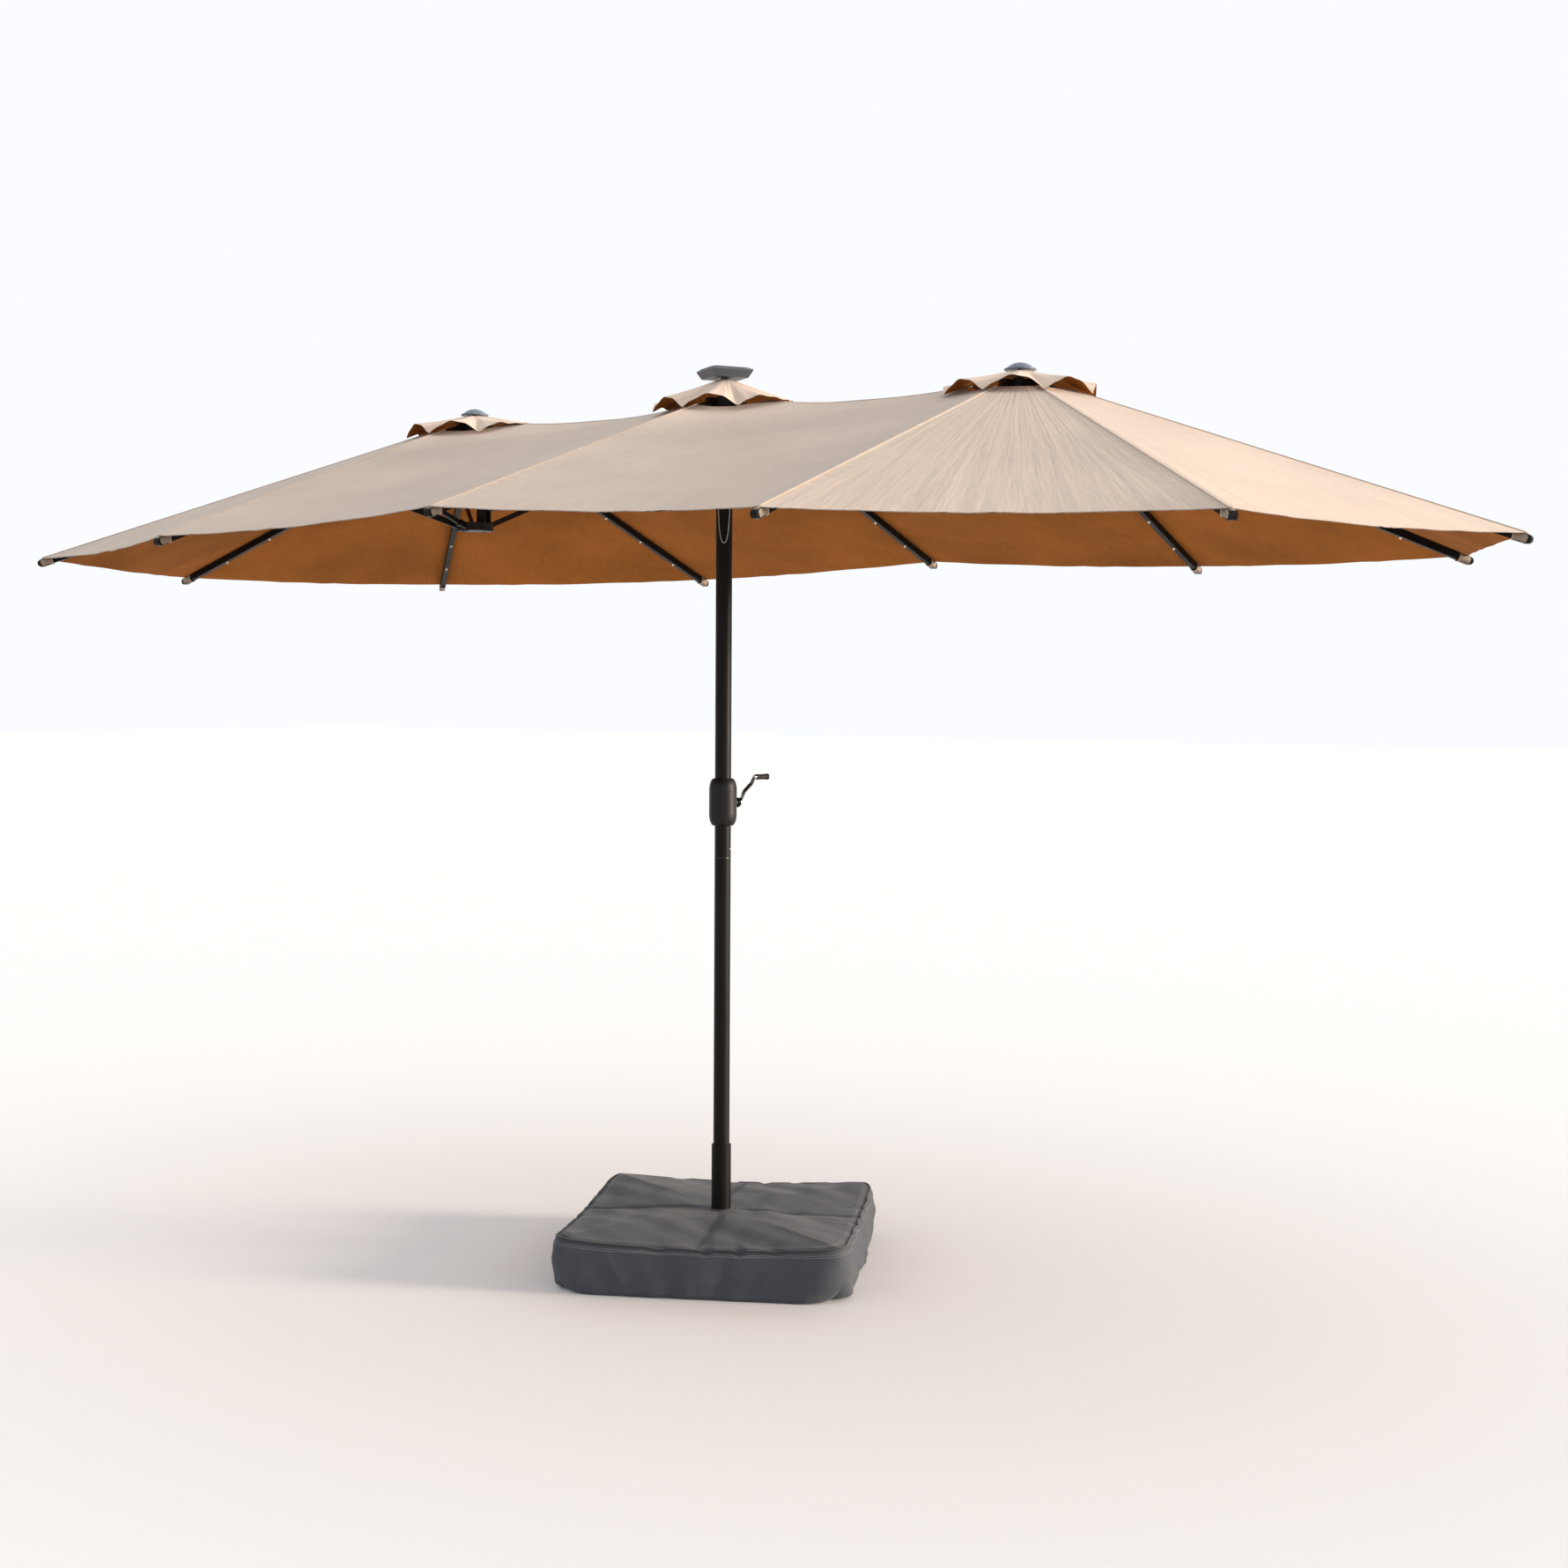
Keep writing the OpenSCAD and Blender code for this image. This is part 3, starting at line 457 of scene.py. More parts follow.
def canopy_cloth(name, rgb, outside):
    """Solution-dyed polyester, plain woven and stretched over the ribs: matt, with a thread texture, long
    tension wrinkles that run out from the hub, and short puckers beside each seam."""
    sheen, shine = (0.15, 0.2) if outside else (0.0, 0.05)
    material, tree, surface, place = new_material(
        name, Roughness=0.88, Specular_IOR_Level=shine, Sheen_Weight=sheen, Sheen_Roughness=0.5
    )
    uv = place["UV"]
    # the threads are 0.4 mm apart; drawn 2.2 mm apart so that the weave shows
    threads = woven_threads(tree, uv, 455)
    # slubs are streaks 3 mm thick and 60 mm long, wrinkles are about 45 mm apart and 500 mm long, and puckers
    # are 24 mm apart
    patterns = (((300, 16, 1), 2.0, 0.55), ((22, 2.2, 1), 3.0, 0.6), ((9, 42, 1), 2.0, 0.55))
    streaks = []
    for scale, detail, rough in patterns:
        at = add(tree, "Mapping", {"Vector": uv, "Scale": scale})
        streak = add(tree, "TexNoise", {"Vector": at, "Scale": 1.0, "Detail": detail, "Roughness": rough})
        streaks.append(streak)
    slubs, wrinkles, ripple = streaks
    # the puckers show only beside a seam: there the panel's count, 0.95 of the cloth's u for each, is whole
    along_u = add(tree, "SeparateXYZ", {"Vector": uv})
    panel = add(tree, "Math", {0: along_u, 1: 0.95}, operation="DIVIDE")
    panel = add(tree, "Math", {0: panel, 1: 0.5}, operation="ADD")
    panel = add(tree, "Math", {0: panel}, operation="FRACT")
    panel = add(tree, "Math", {0: panel, 1: 0.5}, operation="SUBTRACT")
    to_seam = add(tree, "Math", {0: panel}, operation="ABSOLUTE")
    near = add(tree, "MapRange", {"Value": to_seam, "From Min": 0.0, "From Max": 0.085,
                                  "To Min": 1.0, "To Max": 0.0})
    pucker = add(tree, "Math", {0: ripple, 1: near}, operation="MULTIPLY")
    at = place["Object"]
    patches = add(tree, "TexNoise", {"Vector": at, "Scale": 2.6, "Detail": 5.0, "Roughness": 0.55})
    fine = add(tree, "Math", {0: slubs, 1: 0.35}, operation="MULTIPLY")
    broad = add(tree, "Math", {0: patches, 1: 0.65}, operation="MULTIPLY")
    tone = add(tree, "Math", {0: fine, 1: broad}, operation="ADD")
    tone = add(tree, "MapRange", {"Value": tone, "From Min": 0.35, "From Max": 0.65,
                                  "To Min": 0.0, "To Max": 1.0})
    low, high = (0.9, 1.08) if outside else (0.72, 1.24)
    tint = add(tree, "Mix", {0: tone, 6: rgba(rgb, low), 7: rgba(rgb, high)}, 2, data_type="RGBA")
    relief = add(tree, "Math", {0: wrinkles, 1: pucker}, operation="ADD")
    coarse = add(tree, "Bump", {"Height": relief, "Strength": 0.9, "Distance": 0.004})
    weave = add(tree, "Bump", {"Height": threads, "Strength": 0.16, "Distance": 0.0005, "Normal": coarse})
    feed(tree, surface, {"Base Color": tint, "Normal": weave})
    return material


def oxford_cloth(name, rgb):
    """Heavy coated polyester, basket woven: charcoal, the weave just showing, chalky where it is rubbed."""
    material, tree, surface, place = new_material(
        name, Roughness=0.7, Specular_IOR_Level=0.3, Sheen_Weight=0.08, Sheen_Roughness=0.45
    )
    at = place["Object"]
    # the yarns are 0.8 mm apart; drawn 2.6 mm apart
    threads = woven_threads(tree, place["UV"], 385)
    rub = add(tree, "TexNoise", {"Vector": at, "Scale": 22, "Detail": 6.0, "Roughness": 0.65})
    fine = add(tree, "TexNoise", {"Vector": at, "Scale": 160, "Detail": 3.0, "Roughness": 0.55})
    broad = add(tree, "Math", {0: rub, 1: 0.7}, operation="MULTIPLY")
    small = add(tree, "Math", {0: fine, 1: 0.3}, operation="MULTIPLY")
    tone = add(tree, "Math", {0: broad, 1: small}, operation="ADD")
    tone = add(tree, "MapRange", {"Value": tone, "From Min": 0.35, "From Max": 0.68,
                                  "To Min": 0.0, "To Max": 1.0})
    tint = add(tree, "Mix", {0: tone, 6: rgba(rgb, 0.86), 7: rgba(rgb, 1.16)}, 2, data_type="RGBA")
    dull = add(tree, "MapRange", {"Value": rub, "From Min": 0.3, "From Max": 0.7,
                                  "To Min": 0.76, "To Max": 0.9})
    crumple = add(tree, "TexNoise", {"Vector": at, "Scale": 34, "Detail": 4.0, "Roughness": 0.6})
    coarse = add(tree, "Bump", {"Height": crumple, "Strength": 0.45, "Distance": 0.003})
    weave = add(tree, "Bump", {"Height": threads, "Strength": 0.1, "Distance": 0.0004, "Normal": coarse})
    feed(tree, surface, {"Base Color": tint, "Roughness": dull, "Normal": weave})
    return material


def webbing(name, rgb):
    """Tape, thread and piping woven from the cloth's own yarn: a tight rib that keeps it matt."""
    material, tree, surface, place = new_material(name, Roughness=0.85, Sheen_Weight=0.2)
    at = place["Object"]
    rib = add(tree, "TexNoise", {"Vector": at, "Scale": 500, "Detail": 2.0, "Roughness": 0.55})
    wear = add(tree, "TexNoise", {"Vector": at, "Scale": 30, "Detail": 4.0, "Roughness": 0.55})
    tint = add(tree, "Mix", {0: wear, 6: rgba(rgb, 0.82), 7: rgba(rgb, 1.18)}, 2, data_type="RGBA")
    relief = add(tree, "Bump", {"Height": rib, "Strength": 0.4, "Distance": 0.0004})
    feed(tree, surface, {"Base Color": tint, "Normal": relief})
    return material


def twisted_rope(name, rgb):
    """Three-strand polyester rope, laid by twisting: soft, with bands that slant round it every 7 mm."""
    material, tree, surface, place = new_material(name, Roughness=0.9, Sheen_Weight=0.3)
    at = place["Object"]
    split = add(tree, "SeparateXYZ", {"Vector": at}).node.outputs
    upward = add(tree, "Math", {0: split["Z"], 1: 900}, operation="MULTIPLY")
    round_it = add(tree, "Math", {0: split["X"], 1: 1400}, operation="MULTIPLY")
    slant = add(tree, "Math", {0: upward, 1: round_it}, operation="ADD")
    strand = add(tree, "Math", {0: slant}, operation="SINE")
    fibres = add(tree, "TexNoise", {"Vector": at, "Scale": 1200, "Detail": 3.0, "Roughness": 0.55})
    tint = add(tree, "Mix", {0: fibres, 6: rgba(rgb, 0.7), 7: rgba(rgb, 1.2)}, 2, data_type="RGBA")
    relief = add(tree, "Bump", {"Height": strand, "Strength": 0.6, "Distance": 0.0006})
    feed(tree, surface, {"Base Color": tint, "Normal": relief})
    return material


def solar_glass(name, rgb):
    """Dark silicon cells laminated under glass: fine silver lines every 26 mm under a glossy face."""
    material, tree, surface, place = new_material(
        name, Roughness=0.08, IOR=1.5, Coat_Weight=1.0, Coat_Roughness=0.03
    )
    at = add(tree, "Mapping", {"Vector": place["Object"], "Rotation": (0, 0, math.radians(32))})
    split = add(tree, "SeparateXYZ", {"Vector": at}).node.outputs
    lines = []
    for axis in ("X", "Y"):
        cell = add(tree, "Math", {0: split[axis], 1: 0.026}, operation="DIVIDE")
        cell = add(tree, "Math", {0: cell, 1: 40.5}, operation="ADD")
        cell = add(tree, "Math", {0: cell}, operation="FRACT")
        cell = add(tree, "Math", {0: cell, 1: 0.5}, operation="SUBTRACT")
        cell = add(tree, "Math", {0: cell}, operation="ABSOLUTE")
        lines.append(add(tree, "Math", {0: cell, 1: 0.03}, operation="LESS_THAN"))
    line = add(tree, "Math", {0: lines[0], 1: lines[1]}, operation="MAXIMUM")
    shade = add(tree, "TexNoise", {"Vector": place["Object"], "Scale": 60, "Detail": 3.0, "Roughness": 0.55})
    cells = add(tree, "Mix", {0: shade, 6: rgba(rgb, 0.8), 7: rgba(rgb, 1.4)}, 2, data_type="RGBA")
    tint = add(tree, "Mix", {0: line, 6: cells, 7: rgba(linear("#8FA0B0"))}, 2, data_type="RGBA")
    feed(tree, surface, {"Base Color": tint})
    return material


def lamp_lens(name):
    """Moulded clear acrylic over a warm white lamp: milky, smooth, faintly yellow from the phosphor."""
    material, tree, surface, place = new_material(name, Roughness=0.18, IOR=1.49, Coat_Weight=0.6)
    cast = add(tree, "TexNoise", {"Vector": place["Object"], "Scale": 300, "Detail": 2.0, "Roughness": 0.55})
    pale, warm = rgba(linear("#E9DFC4")), rgba(linear("#FAF5E6"))
    feed(tree, surface, {"Base Color": add(tree, "Mix", {0: cast, 6: pale, 7: warm}, 2, data_type="RGBA")})
    return material


MATERIALS = {}


def finish(name):
    """The named finish, made once from the settings."""
    if name in MATERIALS:
        return MATERIALS[name]
    canopy = bpy.context.scene.umbrella_canopy
    cover = bpy.context.scene.umbrella_cover
    hard = bpy.context.scene.umbrella_finish
    makers = {
        "powder coat": lambda: powder_coat("Bronze-black powder coat", hard.bronze),
        "nylon": lambda: moulded("Black moulded nylon", hard.nylon, 0.45, shine=0.25),
        "grip": lambda: moulded("Black soft-touch grip", hard.nylon, 0.62, 600, 0.5, 0.25),
        "dome plastic": lambda: moulded("Blue-grey moulded ABS", hard.dome, 0.3, 700, 0.15),
        "panel tray": lambda: moulded("Slate moulded ABS", linear("#39424C"), 0.34),
        "panel glass": lambda: solar_glass("Solar cells under glass", hard.panel),
        "acetal": lambda: moulded("White acetal", linear("#D8D6CF"), 0.35),
        "chrome": lambda: plated("Chrome-plated steel", hard.chrome, 0.1),
        "zinc": lambda: plated("Zinc-plated steel", linear("#A9A9A6"), 0.32),
        "nickel": lambda: plated("Nickel-plated ball chain", linear("#C4C4C0"), 0.2),
        "canopy outside": lambda: canopy_cloth("Canopy polyester, outer face", canopy.outside, True),
        # the canopy's inner face: its colour is painted shade and a painted glow of light through the cloth
        "canopy inside": lambda: canopy_cloth("Canopy polyester, inner face with painted shade and glow", canopy.inside, False),
        "vent cloth": lambda: canopy_cloth("Vent polyester, outer face", canopy.vent, True),
        "seam tape": lambda: webbing("Sewn seam tape", linear("#BBA999")),
        "pocket cloth": lambda: webbing("Rib pocket polyester", linear("#857463")),
        "thread": lambda: webbing("Beige polyester thread", linear("#B5A28F")),
        "cover cloth": lambda: oxford_cloth("Charcoal oxford cloth", cover.colour),
        "piping": lambda: webbing("Charcoal piping", linear("#26282C")),
        "cover thread": lambda: webbing("Grey polyester thread", linear("#85878C")),
        "sand bag": lambda: oxford_cloth("Canvas of the sand bags", linear("#8D8271")),
        "rope": lambda: twisted_rope("Twisted polyester rope", linear("#C9C2B2")),
        "lens": lambda: lamp_lens("Acrylic lamp lens"),
    }
    MATERIALS[name] = makers[name]()
    return MATERIALS[name]


# ---- canopy ----

def over_rib(pivot_z, slope, radius):
    """Height of the cloth on a rib: the rib's straight line, lifted."""
    lift = bpy.context.scene.umbrella_canopy.lift
    return pivot_z + lift - (radius - PIVOT_R) * math.tan(slope)


def panel_waves(across, share):
    """Soft waves of the hem: they grow with the sixth power of the way out and fade at each rib."""
    height = bpy.context.scene.umbrella_canopy.flutter
    return height * share**6 * tent(across % 1.0) * np.sin(across * 31.0 + 2.0 * np.sin(across * 9.0))


def side_gore(k, v, u):
    """A point of the outer canopy between rib k and the next, on the right side. The two ribs' lines are drawn
    from the top hole to the tips, and the cloth runs straight across between them. It hangs a little and curves
    in towards the hub in the middle of the gore, more towards the hem."""
    canopy = bpy.context.scene.umbrella_canopy
    (turn_a, tip_a), (turn_b, tip_b) = list(SPOTS.values())[k:k + 2]
    ra, rb = mix(HOLE_R, tip_a, u), mix(HOLE_R, tip_b, u)
    inward = 1 - canopy.hem_scallop * tent(v) * u**2
    x = mix(ra * math.cos(turn_a), rb * math.cos(turn_b), v) * inward
    y = mix(ra * math.sin(turn_a), rb * math.sin(turn_b), v) * inward
    z = mix(over_rib(SIDE_Z, SIDE_SLOPE, ra), over_rib(SIDE_Z, SIDE_SLOPE, rb), v)
    z = z - canopy.hem_drop * tent(v) * u - panel_waves(1 + k + v, u)
    return np.stack([HUB_X + x, y, z], axis=-1)


def hole_edge(x):
    """Half width of the round top hole at x: the circle round the nearer hub, and zero past it."""
    d = np.minimum(x, HUB_X - x)
    return np.sqrt(np.maximum(HOLE_R**2 - d**2, 0))


def ridge_line(d):
    """Half width of the cloth that goes with a ridge arm, at a distance from the nearer hub."""
    return np.maximum(0, d - HOLE_R) * HUB_X / 2 / (HUB_X / 2 - HOLE_R)


def hem_edge(x):
    """Distance of the hem from the ridge: a straight line between the two tips, drawn in as a parabola."""
    canopy = bpy.context.scene.umbrella_canopy
    w = x / HUB_X
    return mix(CENTRE_TIP, SPOTS["front"][1], w) * (1 - canopy.hem_scallop * tent(w))


def ridge_height(x):
    """Height along the ridge arm: level over the arm, and rising to each hub over the last part."""
    level = RIDGE_Z + 0.0125 + 0.0065
    cone = np.maximum(0, 1 - x / CONE_REACH) ** 2
    far_cone = np.maximum(0, 1 - (HUB_X - x) / CONE_REACH) ** 2
    return (level + (over_rib(CENTRE_Z, CENTRE_SLOPE, 0.0) - level) * cone
            + (over_rib(SIDE_Z, SIDE_SLOPE, 0.0) - level) * far_cone)


def between_height(x, y):
    """Height of the cloth between the centre rib and a side rib (a Coons patch): what runs across between the
    two ribs, plus what runs out from the ridge to the hem, less their common corners."""
    canopy = bpy.context.scene.umbrella_canopy
    w = x / HUB_X
    q = y / hem_edge(x)
    edge = mix(CENTRE_TIP, SPOTS["front"][1], w)

    def ribs(radius):
        return mix(over_rib(CENTRE_Z, CENTRE_SLOPE, radius), over_rib(SIDE_Z, SIDE_SLOPE, radius), w)

    centre_hem = over_rib(CENTRE_Z, CENTRE_SLOPE, CENTRE_TIP)
    hem = mix(centre_hem, over_rib(SIDE_Z, SIDE_SLOPE, SPOTS["front"][1]), w)
    hem = hem - canopy.hem_drop * tent(w)
    z = ribs(q * edge) + mix(ridge_height(x), hem, q) - mix(ribs(0.0), ribs(edge), q)
    return z - panel_waves(w, np.clip(q, 0, 1))


def rows_out():
    """Even shares of the way from the top to the hem, as a column."""
    return np.linspace(0, 1, bpy.context.scene.umbrella_canopy.rows)[:, None]


# columns across half a gore: close together beside the rib, where the cloth creases
HALF = np.array([0, 0.008, 0.02, 0.04, 0.07, 0.11, 0.16, 0.22, 0.28, 0.34, 0.40, 0.45, 0.5])


def gore_part(k, spread):
    """Points, normals and cloth coordinates of part of an outer gore, for columns at shares across it."""
    u = rows_out() + 0 * spread[None, :]
    v = spread[None, :] + 0 * u
    ribs = list(SPOTS.values())
    along = mix(mix(HOLE_R, ribs[k][1], u), mix(HOLE_R, ribs[k + 1][1], u), v)
    uv = np.stack([(1 + k + v) * 0.95, along], axis=-1)
    gap = (1 - u) * (mix(ribs[k][1], ribs[k + 1][1], v) - HOLE_R)
    return side_gore(k, v, u), slopes(lambda a, b: side_gore(k, a, b), v, u), uv, gap


def between_part(x, start):
    """The same for the cloth beside the ridge: columns at x, and rows from a start line to the hem."""
    u = rows_out() + 0 * x[None, :]
    xs = x[None, :] + 0 * u

    def at(px, t):
        y = mix(start(px), hem_edge(px), t)
        return np.stack([px, y, between_height(px, y)], axis=-1)

    grid = at(xs, u)
    step = 1e-4
    dx = at(np.minimum(xs + step, HUB_X), u) - at(np.maximum(xs - step, 0), u)
    dy = at(xs, np.clip(u + 1e-3, 0, 1)) - at(xs, np.clip(u - 1e-3, 0, 1))
    normal = unit(np.cross(dx, dy))
    normal = normal * np.where(normal[..., 2:] < 0, -1.0, 1.0)
    uv = np.stack([xs / HUB_X * 0.95, grid[..., 1]], axis=-1)
    return grid, normal, uv, (1 - u) * (hem_edge(xs) - start(xs))


def joined(left, right):
    """Two parts side by side: the left one's columns reversed, and the shared rib column averaged."""
    out = []
    for n, (a, b) in enumerate(zip(left, right)):
        a = a[:, ::-1]
        middle = a[:, -1:] if n != 1 else unit(a[:, -1:] + b[:, :1])
        out.append(np.concatenate([a[:, :-1], middle, b[:, 1:]], axis=1))
    return out


def flipped(part, x=1.0, y=1.0):
    """The part mirrored in x or y."""
    sign = np.array([x, y, 1.0])
    grid, normal, uv, gap = part
    return [grid * sign, normal * sign, uv, gap]


def rest_on_rib(obj, rib):
    """The cloth goes with its rib, with a mesh of its own."""
    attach(obj, f"rib_{rib}")
    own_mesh(obj)


def cloth_piece(name, part, materials):
    """Cloth with a doubled hem: it is twice as thick over the last 22 mm."""
    grid, normal, uv, gap = part
    thin = bpy.context.scene.umbrella_canopy.cloth
    thick = np.where(gap < 0.022, 1.9, 1.0) * thin
    return shell(name, grid, normal, thick, materials, uv)


class UMBRELLA_OT_canopy(bpy.types.Operator):
    """Cut the canopy as one surface and divide it in the middle of each gore; each part goes with its rib"""
    bl_idname = "umbrella.canopy"
    bl_label = "Canopy"

    def execute(self, context):
        # the inner faces get painted shade and a painted glow of light through the cloth
        outside, inside = finish("canopy outside"), finish("canopy inside")
        names = list(SPOTS)
        # from the side rib inwards to the middle, and the line where the ridge part starts
        near = HUB_X * (1 - HALF)
        middle_far = between_part(near, lambda x: np.maximum(hole_edge(x), ridge_line(HUB_X - x)))
        middle_near = between_part(HUB_X * HALF, lambda x: np.maximum(hole_edge(x), ridge_line(x)))
        for side, sign in SIDES.items():
            for i, spot in enumerate(names):
                before = gore_part(i - 1, 1 - HALF) if i > 0 else flipped(middle_far, y=-1)
                after = gore_part(i, HALF) if i < len(names) - 1 else middle_far
                part = flipped(joined(before, after), x=sign)
                obj = cloth_piece(f"canopy_{side}_{spot}", part, [outside, inside])
                rest_on_rib(obj, f"{side}_{spot}")
        for spot, sign in (("centre_front", -1.0), ("centre_back", 1.0)):
            part = joined(flipped(middle_near, x=-1, y=sign), flipped(middle_near, y=sign))
            obj = cloth_piece(f"canopy_{spot}", part, [outside, inside])
            rest_on_rib(obj, spot)
        for side, sign in SIDES.items():
            self.ridge(side, sign, outside, inside)
        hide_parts("canopy_right", "canopy_middle")
        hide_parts("canopy_left")
        return {"FINISHED"}

    def ridge(self, side, sign, outside, inside):
        """The part over a ridge arm: a lozenge from one top hole to the other, on both slopes."""
        ends = [HOLE_R + 1e-4, HUB_X - HOLE_R - 1e-4]
        columns = np.concatenate([HUB_X * HALF, HUB_X * (1 - HALF[::-1])[1:], ends])
        x = np.unique(np.round(columns[(columns > HOLE_R) & (columns < HUB_X - HOLE_R)], 9))
        t = np.concatenate([[0, 0.01, 0.03], np.linspace(0.07, 1, 20)])[:, None]
        xs = x[None, :] + 0 * t
        y = ridge_line(np.minimum(xs, HUB_X - xs)) * t

        def at(px, py):
            return np.stack([px, py, between_height(px, np.abs(py))], axis=-1)

        grid = at(xs, y)
        step = 1e-4
        normal = unit(np.cross(at(xs + step, y) - at(xs - step, y), at(xs, y + step) - at(xs, y - step)))
        uv = np.stack([xs / HUB_X * 0.95, y], axis=-1)
        gap = np.full(xs.shape, 1.0)
        for name, turn in (("front", -1.0), ("back", 1.0)):
            part = flipped([grid, normal, uv, gap], x=sign, y=turn)
            obj = cloth_piece(f"canopy_ridge_{side}_{name}", part, [outside, inside])
            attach(obj, f"ridge_arm_{side}")
            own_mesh(obj)


# ---- seams, hem pockets and lamps on the ribs ----

def all_ribs():
    """Each rib's name, hub x, direction, tip radius, pivot height and slope."""
    for side, sign in SIDES.items():
        for spot, (turn, tip) in SPOTS.items():
            turn = turn if sign > 0 else math.pi - turn
            yield f"{side}_{spot}", sign * HUB_X, turn, tip, SIDE_Z, SIDE_SLOPE
    for spot, turn in (("centre_front", -math.pi / 2), ("centre_back", math.pi / 2)):
        yield spot, 0.0, turn, CENTRE_TIP, CENTRE_Z, CENTRE_SLOPE


def rib_axes(turn, slope):
    """A rib's own axes as columns: out along it, across it to its left, and up from it."""
    out = np.array([math.cos(turn) * math.cos(slope), math.sin(turn) * math.cos(slope), -math.sin(slope)])
    left = np.array([-math.sin(turn), math.cos(turn), 0.0])
    return np.stack([out, left, np.cross(out, left)], axis=1)


def tape(path_line, side_line, up, half, rise):
    """A flat tape along a line: a low arch across, closed below."""
    w = np.array([-1, -0.92, -0.5, 0, 0.5, 0.92, 1])
    h = np.array([-1.2, 0.6, 0.95, 1.0, 0.95, 0.6, -1.2]) * rise
    grid = path_line[:, None, :] + (w * half)[None, :, None] * side_line + h[None, :, None] * up
    points = grid.reshape(-1, 3)
    faces = [quads(len(path_line), len(w), wrap=True)]
    last = (len(path_line) - 1) * len(w)
    faces.append(np.arange(len(w))[None, ::-1])
    faces.append((last + np.arange(len(w)))[None, :])
    return points, outward(points, faces)


class UMBRELLA_OT_seams(bpy.types.Operator):
    """Sew a tape with two rows of stitches over each rib and each ridge arm"""
    bl_idname = "umbrella.seams"
    bl_label = "Seams"

    def execute(self, context):
        half = context.scene.umbrella_canopy.seam / 2
        tapes, threads = finish("seam tape"), finish("thread")
        for rib, hub_x, turn, tip, pivot_z, slope in all_ribs():
            axes = rib_axes(turn, slope)
            r = np.linspace(HOLE_R - 0.004, tip - 0.002, 60)
            out = np.array([math.cos(turn), math.sin(turn)])
            line = np.stack([hub_x + r * out[0], r * out[1], over_rib(pivot_z, slope, r)], axis=1)
            sewn = piece(f"seam_{rib}", *tape(line, axes[:, 1], axes[:, 2], half, 0.0009), [tapes])
            edges = [line + s * (half - 0.0032) * axes[:, 1] + 0.0009 * axes[:, 2] for s in (-1, 1)]
            rows = [stitches(edge, axes[:, 2], 0.007, 0.005) for edge in edges]
            row = piece(f"stitches_{rib}", *merged(rows), [threads])
            for obj in (sewn, row):
                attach(obj, f"rib_{rib}")
        for side, sign in SIDES.items():
            x = np.linspace(HOLE_R - 0.004, HUB_X - HOLE_R + 0.004, 50)
            line = np.stack([sign * x, 0 * x, ridge_height(x)], axis=1)
            w = np.array([-1, -0.6, 0, 0.6, 1]) * half
            top = np.stack([sign * x[:, None] + 0 * w, w + 0 * x[:, None],
                            between_height(x[:, None], np.abs(w)[None, :]) + 0.0011], axis=-1)
            up = np.broadcast_to(np.array([0.0, 0.0, 1.0]), top.shape)
            uv = top[..., :2]
            sewn = shell(f"seam_ridge_{side}", top, up, 0.0016, [tapes], uv)
            up_line = np.array([0.0, 0.0, 1.0])
            rows = []
            for s in (-1, 1):
                offset = s * (half - 0.0032)
                edge = line + np.array([0, offset, 0])
                edge[:, 2] = between_height(x, np.full(len(x), abs(offset))) + 0.0012
                rows.append(stitches(edge, up_line, 0.007, 0.005))
            row = piece(f"stitches_ridge_{side}", *merged(rows), [threads])
            for obj in (sewn, row):
                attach(obj, f"ridge_arm_{side}")
        return {"FINISHED"}


